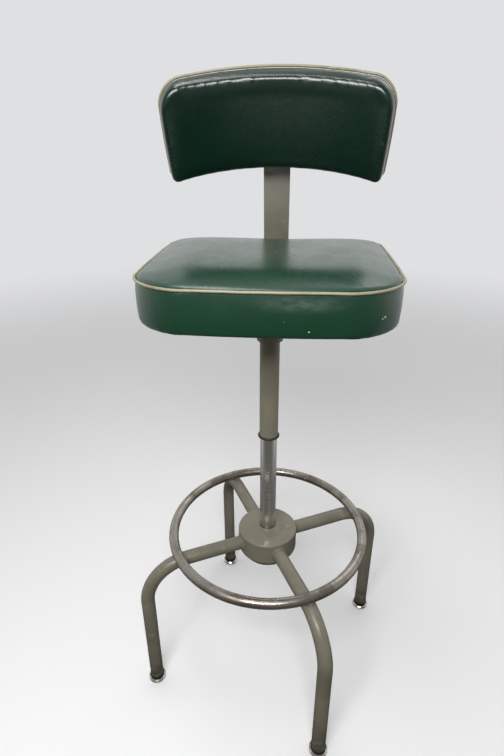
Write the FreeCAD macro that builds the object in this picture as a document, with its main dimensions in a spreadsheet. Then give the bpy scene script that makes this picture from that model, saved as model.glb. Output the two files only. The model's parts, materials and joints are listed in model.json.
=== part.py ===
import FreeCAD, Part
import math
import os
from types import SimpleNamespace

import Sketcher

# Machinist stool: four bent tube legs welded into a pressed hub, a foot ring on the
# arms, a post that swivels in the hub, a sleeve that slides on the post and carries a
# boxed seat, and a flat bar behind the seat with a hinged, padded backrest.
# Frame: origin on the floor under the post, +Z up, the seat faces -Y. Millimetres.

Vector = FreeCAD.Vector
Rotation = FreeCAD.Rotation
Placement = FreeCAD.Placement

doc = FreeCAD.newDocument("machinist_stool")

# Driving dimensions: name, value, what it is
DIMENSIONS = [
    ("leg_diameter", 27.0, "leg tube, outside diameter"),
    ("leg_wall", 2.0, "leg tube, wall"),
    ("leg_circle", 259.0, "radius of the circle that the legs stand on"),
    ("leg_bend", 84.0, "bend radius of the leg, centre line"),
    ("arm_height", 315.0, "height of the arms' centre line"),
    ("leg_turn", 25.97, "angle of the first leg from the seat's right"),
    ("glide_radius", 17.5, "radius of the metal glide cup"),
    ("glide_height", 15.0, "floor to the end of the leg tube"),
    ("ring_radius", 193.5, "foot ring, centre line radius"),
    ("ring_tube", 19.0, "foot ring, tube diameter"),
    ("ring_wall", 1.6, "foot ring, tube wall"),
    ("hub_radius", 59.9, "hub, outside radius"),
    ("hub_top", 338.7, "height of the hub's flat top"),
    ("hub_depth", 61.0, "height of the hub pressing"),
    ("hub_sheet", 2.5, "hub pressing, sheet thickness"),
    ("hub_boss", 7.5, "height of the raised boss"),
    ("hub_hole", 16.9, "radius of the hole round the post"),
    ("hub_rim", 2.6, "round of the hub's upper rim"),
    ("hub_plate", 3.0, "thickness of the hub's base plate"),
    ("core_radius", 22.0, "hub core tube, outside radius"),
    ("core_bore", 18.6, "hub core tube, bore radius"),
    ("post_radius", 15.9, "post tube, outside radius"),
    ("post_bore", 13.8, "post tube, bore radius"),
    ("post_top", 640.0, "height of the top of the post tube"),
    ("sleeve_radius", 17.5, "sleeve tube, outside radius"),
    ("sleeve_bore", 15.98, "sleeve tube, bore radius"),
    ("sleeve_foot", 561.5, "height of the sleeve tube's lower end"),
    ("collar_radius", 22.85, "collar under the seat, outside radius"),
    ("collar_foot", 753.0, "height of the collar's lower end"),
    ("clamp_height", 597.0, "height of the clamp screw on the sleeve"),
    ("plate_top", 825.0, "height of the seat plate's top, the seat's underside"),
    ("plate_sheet", 4.0, "seat plate, thickness"),
    ("seat_width", 383.0, "seat, width halfway back, without the bows"),
    ("seat_depth", 380.0, "seat, depth without the bows"),
    ("seat_taper", 0.036, "seat, how far each side leans out towards the rear, per length"),
    ("seat_shift", 2.8, "the seat's middle, forward of the post"),
    ("seat_side", 64.0, "seat, underside to piping"),
    ("seat_crown", 20.0, "seat, rise of the crown above the piping"),
    ("seat_bow_front", 5.4, "seat, bow of the front edge"),
    ("seat_bow_side", 4.2, "seat, bow of the sides"),
    ("seat_bow_rear", 3.0, "seat, bow of the rear edge"),
    ("seat_corner_front", 81.0, "seat, front corner radius"),
    ("seat_corner_rear", 43.0, "seat, rear corner radius"),
    ("piping_radius", 2.0, "radius of the piping"),
    ("board_thickness", 12.0, "plywood seat board"),
    ("bar_width", 50.0, "back bar, width of the flat steel"),
    ("bar_thickness", 6.35, "back bar, thickness"),
    ("bar_lean", 10.0, "lean of the back bar towards the front, degrees"),
    ("bar_reach", 228.0, "front face of the bar, behind the post at bar_level"),
    ("bar_level", 897.0, "height where bar_reach is taken"),
    ("bar_bend", 35.0, "inside bend radius of the back bar"),
    ("bar_top", 1152.0, "height of the bar's top"),
    ("bar_front", 46.0, "front end of the bar under the seat"),
    ("slide_height", 1110.0, "height of the back slide's stud on the bar"),
    ("hinge_offset", 20.0, "hinge pin, forward of the bar's front face"),
    ("pad_tilt", 25.0, "tilt of the backrest towards the front, degrees"),
    ("pad_gap", 16.6, "hinge pin to the rear face of the backrest"),
    ("pad_curve", 420.0, "radius of the backrest's rear face"),
    ("pad_width", 377.0, "width of the backrest, corner to corner"),
    ("pad_height", 158.0, "height of the backrest"),
    ("pad_drop", 3.0, "the backrest's middle, below the hinge pin"),
    ("pad_thickness", 38.0, "thickness of the backrest"),
    ("pad_crown", 6.4, "rise of the backrest's top and bottom edges"),
    ("pad_corner_top", 37.0, "upper corner radius of the backrest"),
    ("pad_corner_low", 14.0, "lower corner radius of the backrest"),
    ("knob_radius", 15.5, "radius of the hand knobs"),
    ("knob_length", 17.0, "length of the hand knobs"),
    ("bar_screw_place", 102.5, "the bar's clamp screw, behind the post"),
    ("stud_radius", 4.0, "radius of the clamp studs"),
    ("slack", 0.3, "clearance between pieces that move past each other"),
]


class Size:
    """A number that remembers the spreadsheet formula it was worked out with."""

    def __init__(self, value, formula):
        self.value = value
        self.formula = formula

    def __float__(self):
        return float(self.value)

    def __add__(self, other):
        return Size(float(self) + float(other), "(%s + %s)" % (self.formula, text(other)))

    def __radd__(self, other):
        return Size(float(other) + float(self), "(%s + %s)" % (text(other), self.formula))

    def __sub__(self, other):
        return Size(float(self) - float(other), "(%s - %s)" % (self.formula, text(other)))

    def __rsub__(self, other):
        return Size(float(other) - float(self), "(%s - %s)" % (text(other), self.formula))

    def __mul__(self, other):
        return Size(float(self) * float(other), "(%s * %s)" % (self.formula, text(other)))

    def __rmul__(self, other):
        return self * other

    def __truediv__(self, other):
        return Size(float(self) / float(other), "(%s / %s)" % (self.formula, text(other)))

    def __neg__(self):
        return Size(-float(self), "(-1 * %s)" % self.formula)


def text(size):
    """The formula of a Size, or a plain number as text."""
    if isinstance(size, Size):
        return size.formula
    return "%.6f" % size


def fill_sheet():
    """Write the driving dimensions into the spreadsheet and return them as Sizes."""
    sheet = doc.addObject("Spreadsheet::Sheet", "Sizes")
    for row, (name, value, note) in enumerate(DIMENSIONS, start=1):
        sheet.set("A%d" % row, note)
        sheet.set("B%d" % row, str(value))
        sheet.setAlias("B%d" % row, name)
    doc.recompute()
    return SimpleNamespace(**{name: Size(value, "Sizes." + name) for name, value, note in DIMENSIONS})


d = fill_sheet()
parts = []


def finish(shape_object, name):
    """Give a finished object its node name and put it on the list of parts."""
    shape_object.Label = name
    parts.append(shape_object)
    return shape_object


def bind(target, path, size):
    """Set a property to a Size through its formula, or to a plain number."""
    if isinstance(size, Size):
        target.setExpression(path, size.formula)
    else:
        target.setExpression(path, text(size))


# Sketches and bodies

def new_body(name):
    return doc.addObject("PartDesign::Body", name)


def new_sketch(body, plane, offset=None):
    """A sketch on one of the body's own origin planes, moved along the plane's normal."""
    sketch = body.newObject("Sketcher::SketchObject", body.Name + "_sketch")
    planes = {feature.Role: feature for feature in body.Origin.OriginFeatures}
    sketch.AttachmentSupport = [(planes[plane], "")]
    sketch.MapMode = "FlatFace"
    if offset is not None:
        sketch.AttachmentOffset = Placement(Vector(0, 0, float(offset)), Rotation())
        bind(sketch, "AttachmentOffset.Base.z", offset)
    return sketch


def pin_point(sketch, geometry, point, x, y):
    """Hold a sketch point at x, y, each bound to its formula; None leaves one free."""
    for kind, zero_axis, size in (("DistanceX", -2, x), ("DistanceY", -1, y)):
        if size is None:
            continue
        if abs(float(size)) < 1e-9:
            sketch.addConstraint(Sketcher.Constraint("PointOnObject", geometry, point, zero_axis))
            continue
        index = sketch.addConstraint(
            Sketcher.Constraint(kind, -1, 1, geometry, point, float(size)))
        if isinstance(size, Size):
            sketch.setExpression("Constraints[%d]" % index, size.formula)


def draw_polygon(sketch, points):
    first = sketch.GeometryCount
    count = len(points)
    for index in range(count):
        start, end = points[index], points[(index + 1) % count]
        sketch.addGeometry(Part.LineSegment(
            Vector(float(start[0]), float(start[1]), 0), Vector(float(end[0]), float(end[1]), 0)))
    for index in range(count):
        sketch.addConstraint(Sketcher.Constraint(
            "Coincident", first + index, 2, first + (index + 1) % count, 1))
    for index, (x, y) in enumerate(points):
        pin_point(sketch, first + index, 1, x, y)


def draw_circle(sketch, x, y, radius):
    circle = Part.Circle(Vector(float(x), float(y), 0), Vector(0, 0, 1), float(radius))
    index = sketch.addGeometry(circle)
    constraint = sketch.addConstraint(Sketcher.Constraint("Radius", index, float(radius)))
    if isinstance(radius, Size):
        sketch.setExpression("Constraints[%d]" % constraint, radius.formula)
    pin_point(sketch, index, 3, x, y)


def feature_on(body, kind, sketch):
    feature = body.newObject(kind, body.Name + "_" + kind.split("::")[1].lower())
    feature.Profile = sketch
    return feature


def revolve(body, points):
    """Turn a closed profile of (radius, height) points about the vertical axis."""
    sketch = new_sketch(body, "XZ_Plane")
    draw_polygon(sketch, points)
    feature = feature_on(body, "PartDesign::Revolution", sketch)
    feature.ReferenceAxis = (sketch, ["V_Axis"])
    feature.Angle = 360
    return feature


def pad(body, sketch, length, both_sides=False, reverse=False):
    feature = feature_on(body, "PartDesign::Pad", sketch)
    feature.SideType = "Symmetric" if both_sides else "One side"
    feature.Reversed = reverse
    feature.Length = float(length)
    bind(feature, "Length", length)
    return feature


def cut_through(body, sketch):
    """Cut a sketch through the whole body, on both sides of its plane."""
    doc.recompute()
    before = body.Shape.Volume
    feature = feature_on(body, "PartDesign::Pocket", sketch)
    feature.SideType = "Symmetric"
    feature.Type = "ThroughAll"
    doc.recompute()
    if body.Shape.Volume > before - 1e-3:
        raise RuntimeError("a pocket in %s cut nothing" % body.Name)
    return feature


def round_edges(body, radius, wanted):
    """Fillet the edges of the body's tip that the test picks."""
    doc.recompute()
    base = body.Tip
    names = ["Edge%d" % (index + 1) for index, edge in enumerate(base.Shape.Edges) if wanted(edge)]
    if not names:
        raise RuntimeError("no edge to round in %s" % body.Name)
    feature = body.newObject("PartDesign::Fillet", body.Name + "_fillet")
    feature.Base = (base, names)
    feature.Radius = float(radius)
    bind(feature, "Radius", radius)
    return feature


def circle_at(radius, height):
    """Test for a horizontal circular edge of this radius at this height."""
    def wanted(edge):
        curve = edge.Curve
        if not isinstance(curve, Part.Circle) or abs(abs(curve.Axis.z) - 1) > 1e-6:
            return False
        return abs(curve.Radius - float(radius)) < 0.02 and abs(curve.Center.z - float(height)) < 0.02
    return wanted


def edge_near(x=None, y=None, z=None, along=None):
    """Test for a straight edge whose middle lies at the given coordinates."""
    def wanted(edge):
        if not isinstance(edge.Curve, Part.Line):
            return False
        middle = edge.CenterOfMass
        for have, want in ((middle.x, x), (middle.y, y), (middle.z, z)):
            if want is not None and abs(abs(have) - abs(float(want))) > 0.3:
                return False
        if along is None:
            return True
        return abs(abs(edge.Curve.Direction.dot(along)) - 1) < 1e-4
    return wanted


def turned_piece(name, points, rounds=()):
    """A revolved piece, with (radius, edge radius, edge height) rounds."""
    body = new_body(name)
    revolve(body, points)
    for round_radius, edge_radius, edge_height in rounds:
        round_edges(body, round_radius, circle_at(edge_radius, edge_height))
    return body


def tube_points(inner, outer, low, high):
    return [(inner, low), (outer, low), (outer, high), (inner, high)]


def cylinder(name, radius, height, place, direction=Vector(0, 0, 1)):
    """A Part cylinder whose foot is at place, standing along direction."""
    item = doc.addObject("Part::Cylinder", name)
    item.Placement = Placement(
        Vector(*[float(value) for value in place]), Rotation(Vector(0, 0, 1), direction))
    bind(item, "Radius", radius)
    bind(item, "Height", height)
    for axis, value in zip("xyz", place):
        bind(item, "Placement.Base." + axis, value)
    return item


def cut(name, base, *tools):
    """Base less the tools, as Part::Cut objects in a row."""
    for tool in tools:
        result = doc.addObject("Part::Cut", "cut_" + name)
        result.Base = base
        result.Tool = tool
        base = result
    return base


def fuse(name, *items):
    if len(items) == 1:
        return items[0]
    result = doc.addObject("Part::MultiFuse", name)
    result.Shapes = list(items)
    return result


def group(name, shapes):
    """Several like solids in one node, worked out by Part's own functions."""
    item = doc.addObject("Part::Feature", name)
    item.Shape = Part.makeCompound(shapes)
    return finish(item, name)


# Heights and angles that several pieces share

leg_angles = {
    "right": float(d.leg_turn),
    "rear": float(d.leg_turn) + 90,
    "left": float(d.leg_turn) + 180,
    "front": float(d.leg_turn) + 270,
}
leg_radius = d.leg_diameter / 2
ring_height = d.arm_height + leg_radius + d.ring_tube / 2
hub_floor = d.hub_top - d.hub_depth
shell_floor = hub_floor + d.hub_sheet
plate_under = d.plate_top - d.plate_sheet
journal_radius = 10.0
bore_depth = d.knob_length * 0.8
bar_level_top = plate_under - 0.4


def around(angle, radius, height):
    """A point on a circle about the post."""
    turn = math.radians(angle)
    return Vector(float(radius) * math.cos(turn), float(radius) * math.sin(turn), float(height))


# Base: hub

def make_hub_core():
    """Bearing tube in the middle of the hub, from the base plate up to the boss."""
    low = shell_floor + d.hub_plate
    high = d.hub_top + d.hub_boss - d.hub_sheet
    body = turned_piece("hub_core", tube_points(d.core_bore, d.core_radius, low, high))
    return finish(body, "hub_core")


def make_hub_shell():
    """One pressing: top swelling into a boss, straight wall, foot drawn in and turned under."""
    sheet = d.hub_sheet
    boss_top = d.hub_top + d.hub_boss
    boss_edge = d.core_radius + 2.0
    boss_foot = d.core_radius + 18.0
    shoulder = hub_floor + 17.0
    drawn_in = d.hub_radius - 12.0
    lip = d.hub_radius - 28.0
    outside = [
        (d.hub_hole, boss_top), (boss_edge, boss_top), (boss_foot, d.hub_top),
        (d.hub_radius, d.hub_top), (d.hub_radius, shoulder), (drawn_in, hub_floor),
        (lip, hub_floor),
    ]
    inside = [
        (lip, shell_floor), (drawn_in - 1.4, shell_floor), (d.hub_radius - sheet, shoulder + 0.6),
        (d.hub_radius - sheet, d.hub_top - sheet), (boss_foot - 0.6, d.hub_top - sheet),
        (boss_edge - 0.6, boss_top - sheet), (d.hub_hole, boss_top - sheet),
    ]
    body = turned_piece("hub_pressing", outside + inside, [
        (d.hub_rim, d.hub_radius, d.hub_top),
        (8.0, d.hub_radius, shoulder),
        (5.0, drawn_in, hub_floor),
        (18.0, boss_edge, boss_top),
        (26.0, boss_foot, d.hub_top),
    ])
    openings = []
    for angle in leg_angles.values():
        arm_axis = around(angle, 1, 0)
        start = (0.0, 0.0, d.arm_height)
        openings.append(cylinder("arm_opening", leg_radius, d.hub_radius + 5.0, start, arm_axis))
    return finish(cut("hub_shell", body, fuse("arm_openings", *openings)), "hub_shell")


def make_hub_base_plate():
    """Disc that lies on the turned-in foot of the hub and carries the thrust bearing."""
    points = tube_points(
        journal_radius + 0.4, d.hub_radius - 14.0, shell_floor, shell_floor + d.hub_plate)
    return finish(turned_piece("hub_base_plate", points), "hub_base_plate")


def make_hub_bushes():
    """Two bronze bushes pressed into the core tube: the post turns in them."""
    running = d.post_radius + 0.06
    upper = tube_points(running, d.core_bore, d.hub_top - 18.0, d.hub_top + d.hub_boss - d.hub_sheet)
    lower = tube_points(running, d.core_bore, shell_floor + 20.0, shell_floor + 34.0)
    finish(turned_piece("swivel_bush_upper", upper), "swivel_bush_upper")
    finish(turned_piece("swivel_bush_lower", lower), "swivel_bush_lower")


# Base: legs

def make_leg(side, angle):
    """Tube along the arm, round the bend and down to the glide; its root is coped to the core."""
    body = new_body("leg_tube_" + side)
    root = d.core_radius - 6.0
    profile = new_sketch(body, "YZ_Plane", root)
    draw_circle(profile, 0.0, d.arm_height, leg_radius)
    draw_circle(profile, 0.0, d.arm_height, leg_radius - d.leg_wall)
    path = new_sketch(body, "XZ_Plane")
    bend_start = d.leg_circle - d.leg_bend
    bend_end = d.arm_height - d.leg_bend
    start = Vector(float(root), float(d.arm_height), 0)
    corner_a = Vector(float(bend_start), float(d.arm_height), 0)
    corner_b = Vector(float(d.leg_circle), float(bend_end), 0)
    foot = Vector(float(d.leg_circle), float(d.glide_height), 0)
    centre = Vector(float(bend_start), float(bend_end), 0)
    path.addGeometry(Part.LineSegment(start, corner_a))
    arc = Part.ArcOfCircle(Part.Circle(centre, Vector(0, 0, 1), float(d.leg_bend)), 0, math.pi / 2)
    path.addGeometry(arc)
    path.addGeometry(Part.LineSegment(corner_b, foot))
    path.addConstraint(Sketcher.Constraint("Coincident", 0, 2, 1, 2))
    path.addConstraint(Sketcher.Constraint("Coincident", 1, 1, 2, 1))
    pin_point(path, 0, 1, root, d.arm_height)
    pin_point(path, 1, 3, bend_start, bend_end)
    pin_point(path, 0, 2, bend_start, d.arm_height)
    pin_point(path, 2, 1, None, bend_end)
    pin_point(path, 2, 2, d.leg_circle, d.glide_height)
    sweep = feature_on(body, "PartDesign::AdditivePipe", profile)
    sweep.Spine = (path, ["Edge1", "Edge2", "Edge3"])
    body.Placement = Placement(Vector(0, 0, 0), Rotation(Vector(0, 0, 1), angle))
    bind(body, "Placement.Rotation.Angle", d.leg_turn + (angle - float(d.leg_turn)))
    core_foot = (0.0, 0.0, d.arm_height - d.leg_diameter)
    core = cylinder("core_cope_" + side, d.core_radius, d.leg_diameter * 2, core_foot)
    return finish(cut("leg_" + side, body, core), "leg_" + side)


def make_glide(side, angle):
    """Metal cup on the floor and the rubber cushion above it."""
    cup_top = 7.0
    collar = leg_radius + 1.2
    cup = turned_piece("cup_" + side, [
        (0.0, 0.0), (d.glide_radius - 2.0, 0.0), (d.glide_radius, 2.0), (d.glide_radius, 4.5),
        (d.glide_radius - 2.6, cup_top), (0.0, cup_top),
    ])
    cushion = turned_piece("cushion_" + side, [
        (0.0, cup_top), (d.glide_radius - 3.0, cup_top), (collar, cup_top + 2.5),
        (collar, d.glide_height), (0.0, d.glide_height),
    ])
    for body, name in ((cup, "glide_cup_"), (cushion, "glide_cushion_")):
        body.Placement = Placement(around(angle, d.leg_circle, 0), Rotation())
        for axis, function in (("x", "cos"), ("y", "sin")):
            turn = "%s(Sizes.leg_turn + %.1f)" % (function, angle - float(d.leg_turn))
            body.setExpression("Placement.Base." + axis, "Sizes.leg_circle * " + turn)
        finish(body, name + side)


def make_glide_stems():
    """Stems that hold the glides in the leg tubes: straight, then tapered at the top."""
    bore = float(leg_radius - d.leg_wall)
    foot = float(d.glide_height)
    plug, point = 14.0, 10.0
    stems = []
    for angle in leg_angles.values():
        straight = Part.makeCylinder(bore, plug, around(angle, d.leg_circle, foot))
        taper = Part.makeCone(bore, bore - 3.0, point, around(angle, d.leg_circle, foot + plug))
        stems.append(straight.fuse(taper).removeSplitter())
    group("glide_stems", stems)


# Base: foot ring

def make_foot_ring():
    """Rolled tube, butt jointed: the annulus turns almost a full circle, short of the seam."""
    body = new_body("foot_ring")
    sketch = new_sketch(body, "XZ_Plane")
    draw_circle(sketch, d.ring_radius, ring_height, d.ring_tube / 2)
    draw_circle(sketch, d.ring_radius, ring_height, d.ring_tube / 2 - d.ring_wall)
    feature = feature_on(body, "PartDesign::Revolution", sketch)
    feature.ReferenceAxis = (sketch, ["V_Axis"])
    feature.Angle = 359.9
    seam_turn = -51.0
    body.Placement = Placement(Vector(0, 0, 0), Rotation(Vector(0, 0, 1), seam_turn))
    return finish(body, "foot_ring")


def make_welds():
    """Weld pads between ring and arms, and beads round the arms where they enter the hub."""
    ring_centre = Vector(0, 0, float(ring_height))
    ring_solid = Part.makeTorus(float(d.ring_radius), float(d.ring_tube) / 2, ring_centre)
    hub_foot = Vector(0, 0, float(hub_floor))
    hub = Part.makeCylinder(float(d.hub_radius), float(d.hub_depth), hub_foot)
    contact = float(d.arm_height + leg_radius)
    tube = float(leg_radius)
    bead_size = 5.0
    pads = []
    beads = []
    for angle in leg_angles.values():
        arm_axis = around(angle, 1, 0)
        turn = Rotation(Vector(0, 0, 1), angle)
        block = Part.makeCylinder(7.5, 7.0, Vector(0, 0, -3.6))
        block.Placement = Placement(around(angle, d.ring_radius, contact), turn)
        arm = Part.makeCylinder(tube, 300, Vector(0, 0, float(d.arm_height)), arm_axis)
        pads.append(block.cut(ring_solid).cut(arm))
        bead_root = around(angle, float(d.hub_radius) - bead_size, d.arm_height)
        bead = Part.makeCone(tube + bead_size, tube, 8.0, bead_root, arm_axis)
        beads.append(bead.cut(hub).cut(arm))
    group("ring_welds", [solid for pad_shape in pads for solid in pad_shape.Solids])
    group("arm_welds", [solid for bead_shape in beads for solid in bead_shape.Solids])


# Post: turns in the hub

def make_post():
    """Bright tube with its foot plug, thrust bearing, washer, nut and top cap."""
    race = 3.3
    race_radius = 17.6
    ball_radius = 2.25
    ball_count = 10
    journal = journal_radius
    race_low = shell_floor + d.hub_plate
    ball_level = race_low + race + ball_radius
    race_high = ball_level + ball_radius + 0.04
    flange = race_high + race
    tube_low = flange + 5.0
    lower = tube_points(journal + 0.6, race_radius, race_low, race_low + race)
    upper = tube_points(journal + 0.2, race_radius, race_high, flange)
    finish(turned_piece("thrust_race_lower", lower), "thrust_race_lower")
    finish(turned_piece("thrust_race_upper", upper), "thrust_race_upper")
    balls = []
    for number in range(ball_count):
        place = around(number * 360 / ball_count, 14.2, ball_level)
        balls.append(Part.makeSphere(ball_radius, place))
    group("thrust_balls", balls)
    stem_end = hub_floor - 16.0
    plug_top = tube_low + 24.0
    foot = turned_piece("post_foot", [
        (0.0, stem_end), (journal, stem_end), (journal, flange), (d.post_radius, flange),
        (d.post_radius, tube_low), (d.post_bore, tube_low), (d.post_bore, plug_top - 2.0),
        (d.post_bore - 2.0, plug_top), (0.0, plug_top),
    ])
    finish(foot, "post_foot")
    tube = tube_points(d.post_bore, d.post_radius, tube_low, d.post_top)
    finish(turned_piece("post_tube", tube, [(1.0, d.post_radius, d.post_top)]), "post_tube")
    cap_low = d.post_top - 18.0
    cap_top = d.post_top + 4.0
    cap_radius = d.post_radius - 1.2
    cap = turned_piece("post_cap", [
        (0.0, cap_low), (d.post_bore - 1.0, cap_low), (d.post_bore, cap_low + 3.0),
        (d.post_bore, d.post_top), (cap_radius, d.post_top), (cap_radius, cap_top),
        (0.0, cap_top),
    ])
    finish(cap, "post_cap")
    washer_top = shell_floor - 0.4
    washer_low = washer_top - 2.0
    washer = tube_points(journal, race_radius - 0.6, washer_low, washer_top)
    finish(turned_piece("post_washer", washer), "post_washer")
    nut_height = 10.0
    nut_corner = 17.3
    nut = new_body("post_nut")
    sketch = new_sketch(nut, "XY_Plane", washer_low - nut_height)
    turns = [math.radians(60 * side) for side in range(6)]
    draw_polygon(sketch, [(nut_corner * math.cos(turn), nut_corner * math.sin(turn)) for turn in turns])
    draw_circle(sketch, 0.0, 0.0, journal)
    pad(nut, sketch, nut_height)
    finish(nut, "post_nut")


# Seat carriage: sleeve and collar

def make_sleeve():
    """Painted tube over the post, its end ring, and the collar under the seat."""
    screw_line = (0.0, 0.0, d.clamp_height)
    clamp_hole = cylinder("clamp_hole", d.stud_radius + 1.2, 30.0, screw_line, Vector(0, 1, 0))
    tube = turned_piece("sleeve", tube_points(d.sleeve_bore, d.sleeve_radius, d.sleeve_foot, plate_under))
    finish(cut("sleeve_tube", tube, clamp_hole), "sleeve_tube")
    ring_low = d.sleeve_foot - 2.5
    ring_high = d.sleeve_foot + 1.5
    ring_radius = d.sleeve_radius + 2.8
    ring_bore = d.post_radius + 0.35
    ring = turned_piece("sleeve_ring", [
        (ring_bore, ring_low), (ring_radius - 1.0, ring_low), (ring_radius, ring_low + 1.0),
        (ring_radius, ring_high - 1.0), (ring_radius - 1.0, ring_high), (d.sleeve_radius, ring_high),
        (d.sleeve_radius, d.sleeve_foot), (ring_bore, d.sleeve_foot),
    ])
    finish(ring, "sleeve_ring")
    collar = turned_piece("seat_collar", tube_points(
        d.sleeve_radius, d.collar_radius, d.collar_foot, plate_under), [
        (1.6, d.collar_radius, d.collar_foot),
    ])
    finish(collar, "seat_collar")


def hand_knob(name, foot, bore):
    """Round knob with scalloped grip and a blind bore, standing on foot along +Z."""
    height = d.knob_length
    neck = d.knob_radius * 0.55
    body = turned_piece(name, [
        (bore, foot), (neck, foot), (neck, foot + height * 0.3),
        (d.knob_radius, foot + height * 0.42), (d.knob_radius, foot + height * 0.88),
        (d.knob_radius * 0.8, foot + height), (0.0, foot + height), (0.0, foot + bore_depth),
        (bore, foot + bore_depth),
    ])
    sketch = new_sketch(body, "XY_Plane")
    draw_circle(sketch, d.knob_radius + 4.2, 0.0, 6.0)
    cutter = cut_through(body, sketch)
    pattern = body.newObject("PartDesign::PolarPattern", name + "_grips")
    pattern.Originals = [cutter]
    pattern.Axis = (sketch, ["N_Axis"])
    pattern.Angle = 360
    pattern.Occurrences = 6
    body.Tip = pattern
    return body


def make_height_clamp():
    """Screw at the back of the sleeve that clamps it on the post, with its boss and knob."""
    rear = Vector(0, 1, 0)
    level = d.clamp_height
    boss_root = d.sleeve_radius - 2.0
    boss_end = d.sleeve_radius + 12.0
    boss = cylinder("boss_blank", 10.0, boss_end - boss_root, (0.0, boss_root, level), rear)
    boss_bore = cylinder("boss_bore", d.stud_radius + 0.08, 30.0, (0.0, d.post_radius, level), rear)
    sleeve_outside = cylinder("boss_cope", d.sleeve_radius, 60.0, (0.0, 0.0, level - 30.0))
    finish(cut("clamp_boss", boss, sleeve_outside, boss_bore), "clamp_boss")
    tip = d.post_radius + d.slack
    knob_foot = boss_end + 1.0
    stud_length = knob_foot + bore_depth - tip
    finish(cylinder("height_screw", d.stud_radius, stud_length, (0.0, tip, level), rear), "height_screw")
    knob = hand_knob("height_knob", 0.0, d.stud_radius)
    knob_place = Vector(0, float(knob_foot), float(level))
    knob.Placement = Placement(knob_place, Rotation(Vector(1, 0, 0), -90))
    bind(knob, "Placement.Base.y", knob_foot)
    bind(knob, "Placement.Base.z", level)
    finish(knob, "height_knob")


# Seat

def bowed_outline(width, depth, taper, bows, corners):
    """Wire of a rounded rectangle with bowed sides, as eight arcs round the origin.

    The sides lean out by taper for each unit towards the rear. Each side is an arc of the
    circle through its two corner points and its bow. A corner's centre is where the two
    side circles, drawn in by the corner radius, cross.
    bows: front, right, rear, left. corners: front right, rear right, rear left, front left.
    """
    half_d = depth / 2
    front_w, rear_w = width / 2 - taper * half_d, width / 2 + taper * half_d
    front_left, front_right = Vector(-front_w, -half_d, 0), Vector(front_w, -half_d, 0)
    rear_right, rear_left = Vector(rear_w, half_d, 0), Vector(-rear_w, half_d, 0)
    sides = [
        (front_left, front_right), (front_right, rear_right),
        (rear_right, rear_left), (rear_left, front_left),
    ]
    circles = []
    for (start, end), bow in zip(sides, bows):
        chord = (end - start).Length
        radius = (chord * chord / 4 + bow * bow) / (2 * abs(bow))
        outward = Vector((end - start).y, -(end - start).x, 0).normalize()
        sign = 1 if bow > 0 else -1
        middle = (start + end) * 0.5 + outward * bow
        circles.append((middle - outward * (sign * radius), radius, sign, middle))
    corner_points = []
    for index, corner in enumerate(corners):
        centre_a, radius_a, sign_a = circles[index][:3]
        centre_b, radius_b, sign_b = circles[(index + 1) % 4][:3]
        reach_a = radius_a - sign_a * corner
        reach_b = radius_b - sign_b * corner
        gap = centre_b - centre_a
        span = gap.Length
        along = (reach_a ** 2 - reach_b ** 2 + span ** 2) / (2 * span)
        across = math.sqrt(reach_a ** 2 - along ** 2)
        unit = gap * (1 / span)
        sharp = sides[index][1]
        options = [
            centre_a + unit * along + Vector(-unit.y, unit.x, 0) * (across * way) for way in (-1, 1)
        ]
        centre = min(options, key=lambda option: (option - sharp).Length)
        touch_a = centre_a + (centre - centre_a).normalize() * radius_a
        touch_b = centre_b + (centre - centre_b).normalize() * radius_b
        crown = centre + ((touch_a - centre) + (touch_b - centre)).normalize() * corner
        corner_points.append((touch_a, crown, touch_b))
    edges = []
    for index in range(4):
        start = corner_points[index - 1][2]
        edges.append(Part.Arc(start, circles[index][3], corner_points[index][0]).toShape())
        edges.append(Part.Arc(*corner_points[index]).toShape())
    return Part.Wire(edges)


def seat_outline(inset, height, scale=1.0):
    """The seat's plan, drawn in by inset all round, as a wire at a height."""
    front = float(d.seat_corner_front) - inset
    rear = float(d.seat_corner_rear) - inset
    side_bow = float(d.seat_bow_side)
    bows = [float(d.seat_bow_front), side_bow, float(d.seat_bow_rear), side_bow]
    wire = bowed_outline(
        float(d.seat_width) - 2 * inset, float(d.seat_depth) - 2 * inset, float(d.seat_taper),
        bows, [front, rear, rear, front])
    wire.scale(scale)
    wire.translate(Vector(0, -float(d.seat_shift), height))
    return wire


def make_seat():
    """Boxed cushion: band drawn in at its foot, a seam that the piping sits in, a crown."""
    base = float(d.plate_top)
    edge = base + float(d.seat_side)
    half_welt = float(d.piping_radius)
    crown = float(d.seat_crown)
    band = [(2.4, base), (0.6, base + 7.0), (-0.8, base + 30.0), (0.0, edge - half_welt)]
    domed = 40.0
    dome = [
        (half_welt, edge - half_welt), (half_welt, edge), (3.0 * half_welt, edge + crown * 0.2),
        (domed * 0.5, edge + crown * 0.4), (domed, edge + crown * 0.62),
        (domed, edge + crown * 0.87, 0.7), (domed, edge + crown, 0.2),
    ]
    lower = Part.makeLoft([seat_outline(*section) for section in band], True, True)
    upper = Part.makeLoft([seat_outline(*section) for section in dome], True, True)
    board = Part.Face(seat_outline(13.0, base)).extrude(Vector(0, 0, float(d.board_thickness)))
    cushion = doc.addObject("Part::Feature", "seat_cushion")
    cushion.Shape = lower.fuse(upper).cut(board)
    finish(cushion, "seat_cushion")
    path = seat_outline(0.0, edge)
    start = path.Edges[0].valueAt(path.Edges[0].FirstParameter)
    tangent = path.Edges[0].tangentAt(path.Edges[0].FirstParameter)
    round_section = Part.Wire([Part.Circle(start, tangent, half_welt).toShape()])
    welt = doc.addObject("Part::Feature", "seat_piping")
    welt.Shape = path.makePipeShell([round_section], True, False)
    finish(welt, "seat_piping")
    return board


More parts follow.
